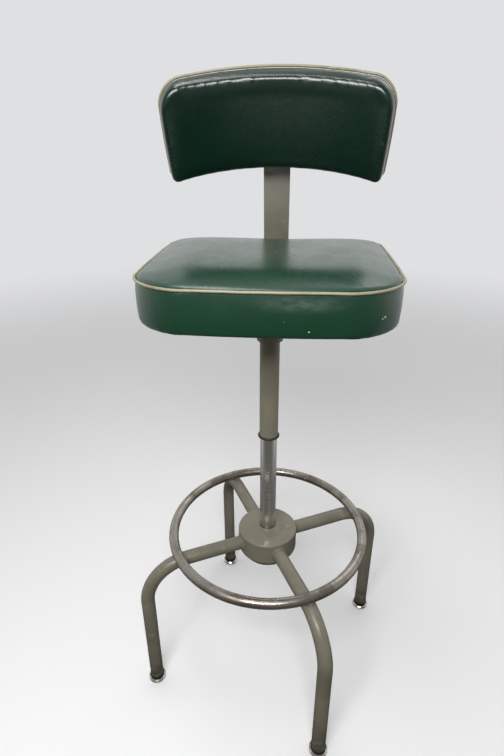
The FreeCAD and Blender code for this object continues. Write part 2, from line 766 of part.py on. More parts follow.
def make_seat_plate(board):
    """Steel plate under the board, its screws, and the guide that holds the back bar."""
    half = 105.0
    rear = half + 40.0
    screw_at = half - 15.0
    screw_places = [(x, y) for x in (-screw_at, screw_at) for y in (-screw_at, screw_at)]
    body = new_body("plate_blank")
    sketch = new_sketch(body, "XY_Plane", plate_under)
    draw_polygon(sketch, [(-half, -half), (half, -half), (half, rear), (-half, rear)])
    pad(body, sketch, d.plate_sheet)
    round_edges(body, 18.0, edge_near(x=half, along=Vector(0, 0, 1)))
    holes = new_sketch(body, "XY_Plane")
    for x, y in screw_places:
        draw_circle(holes, x, y, 3.0)
    guide_holes = [(x, y) for x in (-38.0, 38.0) for y in (80.0, 125.0)]
    for x, y in guide_holes:
        draw_circle(holes, x, y, 2.5)
    cut_through(body, holes)
    finish(body, "seat_plate")
    screws = []
    for x, y in screw_places:
        shank = Part.makeCylinder(3.0, float(d.plate_sheet) + 8.0, Vector(x, y, float(plate_under)))
        head = Part.makeCone(3.2, 5.5, 3.0, Vector(x, y, float(plate_under) - 3.0))
        screws.append(shank.fuse(head).removeSplitter())
    group("seat_screws", screws)
    item = doc.addObject("Part::Feature", "seat_board")
    item.Shape = board.cut(Part.makeCompound(screws))
    finish(item, "seat_board")
    make_bar_guide(guide_holes)


def make_bar_guide(hole_places):
    """Pressed hat section bolted under the seat plate; the back bar slides in it."""
    body = new_body("guide_blank")
    guide_rear = 137.0
    guide_length = 69.0
    sketch = new_sketch(body, "XZ_Plane", -guide_rear)
    sheet = 3.0
    inner = d.bar_width / 2 + 0.5
    outer = inner + sheet
    flange = outer + 18.0
    top = plate_under
    roof = top - d.bar_thickness - 0.8
    floor = roof - sheet
    draw_polygon(sketch, [
        (-flange, top), (-inner, top), (-inner, roof), (inner, roof), (inner, top), (flange, top),
        (flange, top - sheet), (outer, top - sheet), (outer, floor),
        (-outer, floor), (-outer, top - sheet), (-flange, top - sheet),
    ])
    pad(body, sketch, guide_length)
    holes = new_sketch(body, "XY_Plane")
    for x, y in hole_places:
        draw_circle(holes, x, y, 2.5)
    draw_circle(holes, 0.0, d.bar_screw_place, d.stud_radius + 0.08)
    cut_through(body, holes)
    finish(body, "bar_guide")
    bolts = []
    for x, y in hole_places:
        low = float(plate_under) - sheet
        shank = Part.makeCylinder(2.5, sheet + float(d.plate_sheet), Vector(x, y, low))
        head = Part.makeCylinder(4.6, 3.2, Vector(x, y, low - 3.2))
        bolts.append(shank.fuse(head).removeSplitter())
    group("guide_bolts", bolts)
    tip = bar_level_top - d.bar_thickness - d.slack
    knob_top = floor - 1.5
    screw_low = knob_top - bore_depth
    screw_place = (0.0, d.bar_screw_place, screw_low)
    finish(cylinder("bar_screw", d.stud_radius, tip - screw_low, screw_place), "bar_screw")
    knob = hand_knob("bar_knob", 0.0, d.stud_radius)
    knob_place = Vector(0, float(d.bar_screw_place), float(knob_top))
    knob.Placement = Placement(knob_place, Rotation(Vector(1, 0, 0), 180))
    bind(knob, "Placement.Base.y", d.bar_screw_place)
    bind(knob, "Placement.Base.z", knob_top)
    finish(knob, "bar_knob")


# Back bar

lean = math.radians(float(d.bar_lean))


def bar_face(height):
    """Place of the bar's front face at a height, along Y."""
    return d.bar_reach - (height - d.bar_level) * math.tan(lean)


def make_back_bar():
    """Flat steel, level under the seat, bent up behind it and leaning to the front."""
    body = new_body("back_bar")
    sketch = new_sketch(body, "YZ_Plane")
    high = bar_level_top
    low = high - d.bar_thickness
    step = d.bar_thickness / math.cos(lean)
    draw_polygon(sketch, [
        (d.bar_front, low), (bar_face(low) + step, low), (bar_face(d.bar_top) + step, d.bar_top),
        (bar_face(d.bar_top), d.bar_top), (bar_face(high), high), (d.bar_front, high),
    ])
    pad(body, sketch, d.bar_width, both_sides=True)
    across = Vector(1, 0, 0)
    inner_corner = edge_near(x=0, y=bar_face(high), z=high, along=across)
    outer_corner = edge_near(x=0, y=bar_face(low) + step, z=low, along=across)
    round_edges(body, d.bar_bend, inner_corner)
    round_edges(body, d.bar_bend + d.bar_thickness, outer_corner)
    half = float(d.bar_width) / 2
    round_edges(body, 9.0, lambda edge: edge_near(x=half)(edge)
                and edge.CenterOfMass.z > float(d.bar_top) - 3 and abs(edge.Curve.Direction.y) > 0.5)
    slot = new_sketch(body, "XZ_Plane")
    slot_radius = d.stud_radius + 0.6
    slot_low = d.slide_height - 56.0
    slot_high = d.slide_height + 30.0
    draw_polygon(slot, [
        (-slot_radius, slot_low), (slot_radius, slot_low),
        (slot_radius, slot_high), (-slot_radius, slot_high),
    ])
    cut_through(body, slot)
    round_edges(body, slot_radius - 0.02, lambda edge: edge_near(x=slot_radius)(edge)
                and float(d.slide_height) - 70 < edge.CenterOfMass.z < float(d.slide_height) + 45
                and abs(edge.Curve.Direction.y) > 0.5)
    return finish(body, "back_bar")


def on_bar(body):
    """Place a body made in the bar's frame: z up the bar, y out of its rear face."""
    turn = Rotation(Vector(1, 0, 0), float(d.bar_lean))
    anchor = Vector(0, float(bar_face(d.slide_height)), float(d.slide_height))
    body.Placement = Placement(anchor, turn)
    return body


# Back slide: rides up and down the bar

def make_back_slide():
    """C-shaped slide that hugs the bar, with two hinge ears, stud, washer and knob."""
    sheet = 3.0
    half = d.bar_width / 2 + 0.5
    front = -d.slack - sheet
    body = new_body("slide_blank")
    sketch = new_sketch(body, "XY_Plane")
    draw_polygon(sketch, [
        (-half - sheet, front), (half + sheet, front), (half + sheet, 5.0), (half, 5.0), (half, -d.slack),
        (-half, -d.slack), (-half, 5.0), (-half - sheet, 5.0),
    ])
    pad(body, sketch, 56.0, both_sides=True)
    for side in (-1, 1):
        ear = new_sketch(body, "YZ_Plane", 17.0 if side > 0 else -21.0)
        nose = -d.hinge_offset - 7.0
        root = front + 0.01
        draw_polygon(ear, [(nose, -8.0), (root, -12.0), (root, 12.0), (nose, 8.0)])
        pad(body, ear, 4.0)
    holes = new_sketch(body, "YZ_Plane")
    draw_circle(holes, -d.hinge_offset, 0.0, 4.0)
    cut_through(body, holes)
    stud_hole = new_sketch(body, "XZ_Plane")
    draw_circle(stud_hole, 0.0, 0.0, d.stud_radius)
    cut_through(body, stud_hole)
    finish(on_bar(body), "back_slide")
    washer_low = d.bar_thickness + d.slack
    washer_top = washer_low + 1.5
    knob_foot = washer_top + 0.5
    stud_length = knob_foot + bore_depth
    stud = turned_piece("stud_blank", [
        (0.0, front - 2.5), (7.0, front - 2.5), (7.0, front), (d.stud_radius, front),
        (d.stud_radius, stud_length), (0.0, stud_length),
    ])
    turn = Rotation(Vector(1, 0, 0), float(d.bar_lean))
    anchor = Vector(0, float(bar_face(d.slide_height)), float(d.slide_height))
    stud.Placement = Placement(anchor, turn.multiply(Rotation(Vector(1, 0, 0), -90)))
    finish(stud, "back_stud")
    washer = turned_piece("washer_blank", tube_points(
        d.stud_radius + 0.1, 11.0, washer_low, washer_top))
    washer.Placement = stud.Placement
    finish(washer, "back_washer")
    knob = hand_knob("back_knob", knob_foot, d.stud_radius + 0.15)
    knob.Placement = stud.Placement
    finish(knob, "back_knob")
    pin_end, pin_head, head_radius, pin_radius = 25.0, 21.6, 5.5, 3.98
    pin = turned_piece("pin_blank", [
        (0.0, -pin_end), (head_radius, -pin_end), (head_radius, -pin_head), (pin_radius, -pin_head),
        (pin_radius, pin_head), (head_radius, pin_head), (head_radius, pin_end), (0.0, pin_end),
    ])
    pin.Placement = Placement(
        anchor + turn.multVec(Vector(0, -float(d.hinge_offset), 0)),
        turn.multiply(Rotation(Vector(0, 1, 0), 90)))
    finish(pin, "hinge_pin")
    return pin.Placement.Base


# Backrest

def pad_outline(inset, depth):
    """Front view of the backrest, drawn in by inset all round, standing at y = depth."""
    side_bow = 2.0
    crown = float(d.pad_crown)
    top = float(d.pad_corner_top) - inset
    low = float(d.pad_corner_low) - inset
    wire = bowed_outline(
        float(d.pad_width) - 2 * inset, float(d.pad_height) - 2 * inset, 0.0,
        [-crown, side_bow, crown, side_bow], [low, top, top, low])
    wire.rotate(Vector(0, 0, 0), Vector(1, 0, 0), 90)
    wire.translate(Vector(0, depth, 0))
    return wire


def pad_ring(front, rear, height):
    """A full ring about the backrest's centre of curvature, between two depths."""
    radius = float(d.pad_curve)
    foot = Vector(0, -radius, -height / 2)
    outer = Part.makeCylinder(radius + rear, height, foot)
    return outer.cut(Part.makeCylinder(radius + front, height, foot))


def pad_prism(inset):
    """The outline carried straight from behind the backrest to well in front of it."""
    behind = 20.0
    return Part.Face(pad_outline(inset, behind)).extrude(Vector(0, -10 * behind, 0))


def curved_sheet(front, rear, inset):
    """The outline's stretch of a ring about the backrest's centre of curvature."""
    return pad_ring(front, rear, float(d.pad_height) * 1.2).common(pad_prism(inset))


def pad_section(angle, top, low, thickness):
    """Upright section of the pad at an angle round its curve: flat rear, crowned front."""
    radius = float(d.pad_curve)
    rear = radius + 4.0
    front = radius - thickness
    swell = 4.0
    soft = 5.5
    lean_in = soft * 0.3

    def place(reach, height):
        turn = math.radians(angle)
        return Vector(reach * math.sin(turn), reach * math.cos(turn) - radius, height)

    upper = place(front + swell, top - soft)
    lower = place(front + swell, low + soft)
    over = place(front + swell + soft, top)
    under = place(front + swell + soft, low)
    edges = [
        Part.LineSegment(place(rear, low), place(rear, top)).toShape(),
        Part.LineSegment(place(rear, top), over).toShape(),
        Part.Arc(over, place(front + swell + lean_in, top - lean_in), upper).toShape(),
        Part.Arc(upper, place(front, (top + low) / 2), lower).toShape(),
        Part.Arc(lower, place(front + swell + lean_in, low + lean_in), under).toShape(),
        Part.LineSegment(under, place(rear, low)).toShape(),
    ]
    return Part.Wire(edges)


def make_pad_solid():
    """Ruled loft of upright sections; the ends draw in and the corners round off."""
    half = float(d.pad_height) / 2
    reach = math.degrees(math.asin(float(d.pad_width) / 2 / float(d.pad_curve)))

    def corner_drop(angle, corner):
        corner_angle = math.degrees(corner / float(d.pad_curve))
        inside = max(0.0, (abs(angle) - (reach - corner_angle)) / corner_angle)
        return 0.85 * corner * (1 - math.sqrt(1 - inside ** 2))

    stations = [reach * fraction for fraction in (0.0, 0.4, 0.8, 0.88, 0.94, 0.98, 0.997)]
    sections = []
    for angle in [-angle for angle in reversed(stations[1:])] + stations:
        lift = float(d.pad_crown) * (1 - (angle / reach) ** 2)
        top = half + lift - corner_drop(angle, float(d.pad_corner_top))
        low = -half + lift + corner_drop(angle, float(d.pad_corner_low))
        draw_in = 11.0 * max(0.0, (abs(angle) / reach - 0.9) / 0.1) ** 2
        sections.append(pad_section(angle, top, low, float(d.pad_thickness) - draw_in))
    return Part.makeLoft(sections, True, True)


def make_backrest(pin_place):
    """Curved board, cushion, piping, rear panel and the plate that hinges on the pin."""
    turn = Rotation(Vector(1, 0, 0), float(d.pad_tilt))
    gap, hinge = float(d.pad_gap), float(d.pad_drop)
    place = Placement(pin_place - turn.multVec(Vector(0, gap, hinge)), turn)
    board_front, board_rear = -11.0, -1.5
    welt_front = -2 * float(d.piping_radius)
    welt_width = 6.0
    board = curved_sheet(board_front, board_rear, welt_width)
    panel = curved_sheet(board_rear, 0.0, welt_width)
    welt = curved_sheet(welt_front, 0.4, 0.0).cut(pad_prism(welt_width))
    cushion = make_pad_solid().cut(pad_ring(welt_front, 30.0, 2 * float(d.pad_height))).cut(board)
    across, rearward = Vector(1, 0, 0), Vector(0, 1, 0)
    plate_half, plate_height, plate_sheet = 34.0, 90.0, 3.0
    plate_front, plate_low = 1.7, hinge - plate_height / 2
    blank = Part.makeBox(
        2 * plate_half, plate_sheet, plate_height, Vector(-plate_half, plate_front, plate_low))
    ear_sheet, knuckle_radius = 4.0, 8.0
    ears = []
    for x in (-16.8, 12.8):
        ear = Part.makeBox(ear_sheet, gap - plate_front, 2 * knuckle_radius,
                           Vector(x, plate_front, hinge - knuckle_radius))
        knuckle = Part.makeCylinder(knuckle_radius, ear_sheet, Vector(x, gap, hinge), across)
        ears.append(ear.fuse(knuckle))
    bore = Part.makeCylinder(4.05, 60.0, Vector(-30.0, gap, hinge), across)
    hinge_plate = blank.fuse(ears).removeSplitter().cut(bore)
    screws = []
    for x in (-26.0, 26.0):
        for z in (hinge - 36.0, hinge + 36.0):
            shank = Part.makeCylinder(2.4, 14.0, Vector(x, -9.3, z), rearward)
            head = Part.makeCone(4.6, 3.0, 2.6, Vector(x, plate_front + plate_sheet, z), rearward)
            screws.append(shank.fuse(head).removeSplitter())
    screw_set = Part.makeCompound(screws)
    pad_back = Part.makeCylinder(
        float(d.pad_curve), plate_height, Vector(0, -float(d.pad_curve), plate_low))
    spacer_sheet = 3.0
    spacer_corner = Vector(-plate_half, plate_front - spacer_sheet, plate_low)
    spacer = Part.makeBox(2 * plate_half, spacer_sheet, plate_height, spacer_corner).cut(pad_back)
    pieces = {
        "back_board": board.cut(screw_set),
        "back_panel": panel.cut(screw_set),
        "back_cushion": cushion,
        "back_piping": welt,
        "back_hinge_plate": hinge_plate.cut(screw_set),
        "back_spacer": spacer.cut(screw_set),
    }
    for name, shape in pieces.items():
        item = doc.addObject("Part::Feature", name)
        item.Shape = shape
        item.Placement = place
        finish(item, name)
    item = group("back_screws", screws)
    item.Placement = place


def check_parts():
    """Stop if any object failed or any part's shape is missing or bad."""
    doc.recompute()
    for item in doc.Objects:
        if "Invalid" in item.State or "Error" in item.State:
            raise RuntimeError("%s did not recompute: %s" % (item.Name, item.State))
    names = [part.Label for part in parts]
    if len(set(names)) != len(names):
        raise RuntimeError("two parts share a label")
    for part in parts:
        if part.Shape.isNull() or not part.Shape.isValid() or not part.Shape.Solids:
            raise RuntimeError("%s has no valid solid" % part.Label)


def export_parts():
    os.makedirs("parts", exist_ok=True)
    for part in parts:
        part.Shape.exportStep("parts/%s.step" % part.Label)
        print("%-20s %10.1f mm3  %d solids" % (part.Label, part.Shape.Volume, len(part.Shape.Solids)))


make_hub_core()
make_hub_shell()
make_hub_base_plate()
make_hub_bushes()
for side, angle in leg_angles.items():
    make_leg(side, angle)
    make_glide(side, angle)
make_glide_stems()
make_foot_ring()
make_welds()
make_post()
make_sleeve()
make_height_clamp()
seat_board = make_seat()
make_seat_plate(seat_board)
make_back_bar()
hinge_place = make_back_slide()
make_backrest(hinge_place)
check_parts()
export_parts()
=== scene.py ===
"""Looks of a tall machinist stool, in metres: seat facing -Y, floor at z = 0.

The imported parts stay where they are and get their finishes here. The upholstery, the
welds and a few trims are new pieces in the places of the plain solids that they replace.
"""
import json
import math

import bpy
import numpy as np
from mathutils import Matrix, Vector


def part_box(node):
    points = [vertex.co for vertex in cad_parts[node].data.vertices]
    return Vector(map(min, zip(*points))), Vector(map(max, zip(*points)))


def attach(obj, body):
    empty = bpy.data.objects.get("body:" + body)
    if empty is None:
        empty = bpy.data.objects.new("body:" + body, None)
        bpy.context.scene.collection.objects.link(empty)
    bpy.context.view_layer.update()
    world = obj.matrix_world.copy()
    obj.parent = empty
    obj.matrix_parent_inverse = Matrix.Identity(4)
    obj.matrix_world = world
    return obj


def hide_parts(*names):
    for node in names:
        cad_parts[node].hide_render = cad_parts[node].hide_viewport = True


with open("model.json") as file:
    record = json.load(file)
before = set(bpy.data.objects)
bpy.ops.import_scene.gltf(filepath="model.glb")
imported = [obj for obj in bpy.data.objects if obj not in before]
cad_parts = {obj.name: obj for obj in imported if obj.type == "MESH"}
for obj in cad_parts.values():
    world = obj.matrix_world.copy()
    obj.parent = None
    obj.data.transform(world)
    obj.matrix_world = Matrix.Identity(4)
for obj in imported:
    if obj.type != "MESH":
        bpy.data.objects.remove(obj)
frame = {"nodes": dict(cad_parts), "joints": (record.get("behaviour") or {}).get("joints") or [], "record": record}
nodes = frame["nodes"]
slot_nodes = {}
for part in frame["record"]["subparts"]:
    slot_nodes.setdefault(part["material_slot"], []).append(nodes[part["node"]])
joint_place = {joint["name"]: joint.get("pos_m") for joint in frame["joints"]}
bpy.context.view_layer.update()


# Painted frame
# Legs, hub, sleeve, collar and seat irons: mild steel under a stoved taupe enamel,
# smooth and satin, a little mottled, rubbed pale at corners and darker in patches near the floor.
def new_material(name, color, roughness, metallic=0.0):
    """A material with one Principled shader, its plain colour and gloss on the shader's sockets."""
    material = bpy.data.materials.new(name)
    material.use_nodes = True
    shader = material.node_tree.nodes["Principled BSDF"]
    shader.inputs["Base Color"].default_value = (*color, 1.0)
    shader.inputs["Roughness"].default_value = roughness
    shader.inputs["Metallic"].default_value = metallic
    return material, material.node_tree, shader


def add(tree, kind, inputs=(), **settings):
    """A node with its settings, where an input is a number, a colour or a socket to read."""
    item = tree.nodes.new(kind)
    for setting, value in settings.items():
        setattr(item, setting, value)
    for key, value in dict(inputs).items():
        if isinstance(value, bpy.types.NodeSocket):
            tree.links.new(value, item.inputs[key])
        else:
            item.inputs[key].default_value = value
    return item


def math_node(tree, operation, first, second=0.0, clamp=False):
    """First and second joined by one sum, such as ADD or MULTIPLY."""
    return add(tree, "ShaderNodeMath", {0: first, 1: second}, operation=operation, use_clamp=clamp).outputs[0]


def spread(tree, value, low, high, start=0.0, end=1.0):
    """Value read as start below low and end above high, with a smooth rise between."""
    inputs = {"Value": value, "From Min": low, "From Max": high, "To Min": start, "To Max": end}
    return add(tree, "ShaderNodeMapRange", inputs, interpolation_type="SMOOTHSTEP").outputs[0]


def mix(tree, share, first, second):
    """The first colour where share is 0, and the second where it is 1."""
    colors = {6: first if isinstance(first, bpy.types.NodeSocket) else (*first, 1.0),
              7: second if isinstance(second, bpy.types.NodeSocket) else (*second, 1.0)}
    return add(tree, "ShaderNodeMix", {0: share, **colors}, data_type="RGBA").outputs[2]


def place_on(tree):
    """Object coordinates of the piece that wears the material."""
    return add(tree, "ShaderNodeTexCoord").outputs["Object"]


def noise(tree, scale, detail=3.0, rough=0.55, stretch=None, where=None):
    """Fractal noise from 0 to 1 with scale features to the metre, drawn out by stretch."""
    where = where or place_on(tree)
    if stretch:
        where = add(tree, "ShaderNodeMapping", {"Vector": where, "Scale": stretch}).outputs[0]
    inputs = {"Vector": where, "Scale": scale, "Detail": detail, "Roughness": rough}
    return add(tree, "ShaderNodeTexNoise", inputs).outputs["Fac"]


def new_group(name, inputs, outputs):
    """An empty effect with named sockets: a number for each input, a kind for each output."""
    tree = bpy.data.node_groups.new(name, "ShaderNodeTree")
    for label, value in inputs.items():
        socket = tree.interface.new_socket(label, in_out="INPUT", socket_type="NodeSocketFloat")
        socket.default_value = value
    for label, kind in outputs.items():
        tree.interface.new_socket(label, in_out="OUTPUT", socket_type="NodeSocket" + kind)
    return tree, tree.nodes.new("NodeGroupInput").outputs, tree.nodes.new("NodeGroupOutput").inputs


def effect(tree, group, **inputs):
    """A group placed in a material with its own values; returns its outputs."""
    item = tree.nodes.new("ShaderNodeGroup")
    item.node_tree = group
    for label, value in inputs.items():
        item.inputs[label.replace("_", " ")].default_value = value
    return item.outputs


def make_patches():
    """Uneven patches: broad noise lifts fine noise over a threshold set by the amount."""
    tree, given, out = new_group("patches", {"Scale": 30.0, "Amount": 0.4, "Edge": 0.06}, {"Mask": "Float"})
    fine_scale = math_node(tree, "MULTIPLY", given["Scale"], 7.0)
    where = place_on(tree)
    broad = add(tree, "ShaderNodeTexNoise", {"Vector": where, "Scale": given["Scale"], "Detail": 2.0})
    fine = add(tree, "ShaderNodeTexNoise", {"Vector": where, "Scale": fine_scale, "Detail": 4.0})
    fine_share = math_node(tree, "MULTIPLY", fine.outputs["Fac"], 0.4)
    broad_share = math_node(tree, "MULTIPLY", broad.outputs["Fac"], 0.6)
    level = math_node(tree, "ADD", fine_share, broad_share)
    low = math_node(tree, "SUBTRACT", 1.0, given["Amount"])
    high = math_node(tree, "ADD", low, given["Edge"])
    tree.links.new(spread(tree, level, low, high), out["Mask"])
    return tree


def make_scratches():
    """Hairline scratches: the thin borders between long cells, broken up by noise."""
    tree, given, out = new_group("scratches", {"Scale": 60.0, "Amount": 0.5, "Slant": 8.0}, {"Mask": "Float"})
    slant = add(tree, "ShaderNodeCombineXYZ", {0: 1.0, 1: 1.0, 2: given["Slant"]}).outputs[0]
    where = add(tree, "ShaderNodeVectorMath", {0: place_on(tree), 1: slant}, operation="MULTIPLY").outputs[0]
    cells = add(tree, "ShaderNodeTexVoronoi", {"Vector": where, "Scale": given["Scale"]},
                feature="DISTANCE_TO_EDGE")
    line = spread(tree, cells.outputs["Distance"], 0.0, 0.035, 1.0, 0.0)
    threshold = math_node(tree, "SUBTRACT", 1.0, given["Amount"])
    broken = spread(tree, noise(tree, 22.0), threshold, math_node(tree, "ADD", threshold, 0.1))
    tree.links.new(math_node(tree, "MULTIPLY", line, broken), out["Mask"])
    return tree


def bump(tree, shader, height, strength, distance):
    """Small relief from a height, wired to the shader's Normal."""
    item = add(tree, "ShaderNodeBump", {"Height": height, "Strength": strength, "Distance": distance})
    tree.links.new(item.outputs[0], shader.inputs["Normal"])


def wear(slot, material):
    """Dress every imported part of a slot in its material."""
    for part in slot_nodes[slot]:
        for held in part.material_slots:
            held.material = material


patches = make_patches()
scratches = make_scratches()


def make_enamel(name, color, roughness):
    """Satin enamel: mottled colour, orange peel, darker and duller patches low down and small pale rubs."""
    material, tree, shader = new_material(name, color, roughness)
    dark = tuple(0.72 * part for part in color)
    pale = tuple(min(1.0, 1.35 * part + 0.01) for part in color)
    mottled = mix(tree, spread(tree, noise(tree, 9.0, 4.0), 0.3, 0.75), color, dark)
    rubs = effect(tree, patches, Scale=38.0, Amount=0.4)["Mask"]
    rubbed = mix(tree, math_node(tree, "MULTIPLY", rubs, 0.55), mottled, pale)
    # Darker, rougher patches in the lowest 11 cm, towards the floor.
    height = add(tree, "ShaderNodeSeparateXYZ", {0: place_on(tree)}).outputs["Z"]
    low_down = spread(tree, height, 0.0, 0.11, 0.75, 0.0)
    low_darkening = math_node(tree, "MULTIPLY", low_down, spread(tree, noise(tree, 70.0, 5.0), 0.35, 0.6))
    chips = effect(tree, patches, Scale=55.0, Amount=0.315, Edge=0.015)["Mask"]
    soiled = mix(tree, low_darkening, rubbed, (0.035, 0.032, 0.026))
    chipped = mix(tree, chips, soiled, (0.05, 0.045, 0.038))
    tree.links.new(chipped, shader.inputs["Base Color"])
    dulled = spread(tree, noise(tree, 26.0, 5.0), 0.3, 0.75, roughness - 0.06, roughness + 0.1)
    tree.links.new(math_node(tree, "ADD", dulled, math_node(tree, "MULTIPLY", low_darkening, 0.25)),
                   shader.inputs["Roughness"])
    peel = math_node(tree, "ADD", noise(tree, 420.0, 2.0), math_node(tree, "MULTIPLY", chips, -0.8))
    bump(tree, shader, peel, 0.16, 0.0006)
    return material


frame_enamel = make_enamel("frame_enamel", (0.205, 0.189, 0.142), 0.34)
wear("frame_paint", frame_enamel)


# Floor glides
# Turned nickel-plated cups on the floor, a black rubber cushion between cup and tube, and
# the plain steel stem that plugs into the leg.
def make_plated(name, color, roughness, dull_color, amount):
    """Bright plating: slight haze, hairlines, and dull patches where it is worn through."""
    material, tree, shader = new_material(name, color, roughness, 1.0)
    worn = effect(tree, patches, Scale=45.0, Amount=amount)["Mask"]
    lines = effect(tree, scratches, Scale=90.0, Amount=0.45)["Mask"]
    tree.links.new(mix(tree, worn, color, dull_color), shader.inputs["Base Color"])
    haze = spread(tree, noise(tree, 60.0, 4.0), 0.3, 0.75, roughness - 0.03, roughness + 0.1)
    added = math_node(tree, "MULTIPLY", math_node(tree, "ADD", worn, lines, clamp=True), 0.25)
    tree.links.new(math_node(tree, "ADD", haze, added), shader.inputs["Roughness"])
    bump(tree, shader, math_node(tree, "MULTIPLY", lines, -1.0), 0.1, 0.0003)
    return material


def make_moulded(name, color, roughness, dust_color, dust):
    """Moulded black rubber or resin: fine matt bloom, dust in patches, faint flow marks."""
    material, tree, shader = new_material(name, color, roughness)
    dusty = math_node(tree, "MULTIPLY", effect(tree, patches, Scale=34.0, Amount=0.5, Edge=0.2)["Mask"], dust)
    tree.links.new(mix(tree, dusty, color, dust_color), shader.inputs["Base Color"])
    bloom = spread(tree, noise(tree, 130.0, 4.0), 0.3, 0.7, roughness - 0.06, roughness + 0.1)
    tree.links.new(math_node(tree, "ADD", bloom, math_node(tree, "MULTIPLY", dusty, 0.3)),
                   shader.inputs["Roughness"])
    bump(tree, shader, noise(tree, 900.0, 2.0), 0.15, 0.0002)
    return material


wear("glide_nickel", make_plated("glide_nickel", (0.72, 0.69, 0.64), 0.2, (0.42, 0.36, 0.3), 0.44))
wear("glide_rubber", make_moulded("glide_rubber", (0.016, 0.016, 0.016), 0.55, (0.09, 0.085, 0.075), 0.5))
wear("stem_steel", make_plated("zinc_steel", (0.58, 0.58, 0.57), 0.3, (0.36, 0.34, 0.31), 0.46))


# Hub insides
# The turned core, base plate, bearing races and balls are oiled machined steel, and the
# two bushes sintered bronze.
wear("bearing_steel", make_plated("machined_steel", (0.5, 0.5, 0.49), 0.26, (0.3, 0.27, 0.23), 0.42))
wear("bush_bronze", make_plated("bush_bronze", (0.6, 0.42, 0.2), 0.34, (0.33, 0.22, 0.1), 0.45))
wear("cap_nylon", make_moulded("cap_nylon", (0.7, 0.68, 0.62), 0.45, (0.5, 0.46, 0.38), 0.4))


# Foot ring
# One rolled tube, butt jointed. Boots have taken its paint off the top and left bare,
# pitted, brownish steel, with old enamel and dirt along the underside and in the pits.
def make_ring_steel():
    """Rubbed steel over old paint: bare where it faces up, dirty below, pitted all over."""
    steel = (0.36, 0.335, 0.295)
    material, tree, shader = new_material("rubbed_ring", steel, 0.3, 0.9)
    facing = add(tree, "ShaderNodeTexCoord").outputs["Normal"]
    up = add(tree, "ShaderNodeSeparateXYZ", {0: facing}).outputs["Z"]
    ragged = math_node(tree, "ADD", up, math_node(tree, "MULTIPLY", noise(tree, 40.0, 5.0), 0.9))
    painted = spread(tree, ragged, -0.35, 0.15, 1.0, 0.0)
    stained = mix(tree, spread(tree, noise(tree, 24.0, 6.0, 0.7), 0.42, 0.66), steel, (0.2, 0.17, 0.135))
    coat = mix(tree, math_node(tree, "MULTIPLY", painted, 0.85), stained, (0.11, 0.1, 0.075))
    pits = effect(tree, patches, Scale=110.0, Amount=0.36, Edge=0.03)["Mask"]
    tree.links.new(mix(tree, pits, coat, (0.045, 0.035, 0.028)), shader.inputs["Base Color"])
    bare = math_node(tree, "SUBTRACT", 0.92, math_node(tree, "MULTIPLY", painted, 0.7))
    tree.links.new(math_node(tree, "SUBTRACT", bare, math_node(tree, "MULTIPLY", pits, 0.5), clamp=True),
                   shader.inputs["Metallic"])
    tree.links.new(spread(tree, noise(tree, 48.0, 6.0), 0.3, 0.7, 0.2, 0.42), shader.inputs["Roughness"])
    relief = math_node(tree, "SUBTRACT", math_node(tree, "MULTIPLY", noise(tree, 260.0, 3.0), 0.5), pits)
    bump(tree, shader, relief, 0.35, 0.0006)
    return material


wear("ring_steel", make_ring_steel())


# Welds
# Each arm enters the hub in a ripple of weld, and the ring is bronze-welded to the arms'
# tops with a hollow-sided pad. All of it is under the frame's enamel.
def grid_quads(rows, columns, rows_close=False):
    """Quads of a grid whose columns close on themselves, and whose rows may too."""
    row = np.arange(rows if rows_close else rows - 1)[:, None]
    column = np.arange(columns)[None, :]
    next_row = (row + 1) % rows
    next_column = (column + 1) % columns
    corners = [row * columns + column, row * columns + next_column,
               next_row * columns + next_column, next_row * columns + column]
    return np.stack(corners, axis=-1).reshape(-1, 4)


def new_piece(name, points, faces, material, body, replaced=()):
    """A smooth mesh object at the origin, riding on a body in the place of plain solids."""
    mesh = bpy.data.meshes.new(name)
    faces = faces.tolist() if isinstance(faces, np.ndarray) else faces
    mesh.from_pydata(np.asarray(points, float).reshape(-1, 3).tolist(), [], faces)
    mesh.polygons.foreach_set("use_smooth", [True] * len(mesh.polygons))
    mesh.materials.append(material)
    piece = bpy.data.objects.new(name, mesh)
    bpy.context.scene.collection.objects.link(piece)
    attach(piece, body)
    if replaced:
        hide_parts(*replaced)
    return piece


def tube_grid(path, reference, radius, sides):
    """Circles carried along a closed path: rows of points at radius from the path.

    A row's circle stands square to the path, turned so that it starts nearest to the
    reference direction. Radius is one number for each row or one for all.
    """
    tangent = np.roll(path, -1, 0) - np.roll(path, 1, 0)
    tangent /= np.linalg.norm(tangent, axis=1, keepdims=True)
    reference = np.broadcast_to(np.asarray(reference, float), path.shape)
    normal = reference - (reference * tangent).sum(1, keepdims=True) * tangent
    normal /= np.linalg.norm(normal, axis=1, keepdims=True)
    side = np.cross(tangent, normal)
    turn = np.linspace(0.0, 2 * np.pi, sides, endpoint=False)
    radius = np.broadcast_to(np.asarray(radius, float), (len(path),))[:, None, None]
    ring = np.cos(turn)[None, :, None] * normal[:, None, :] + np.sin(turn)[None, :, None] * side[:, None, :]
    return path[:, None, :] + radius * ring


def turn_z(points, angle):
    """Points turned about the Z axis."""
    cos, sin = math.cos(angle), math.sin(angle)
    return points @ np.array([[cos, sin, 0.0], [-sin, cos, 0.0], [0.0, 0.0, 1.0]])


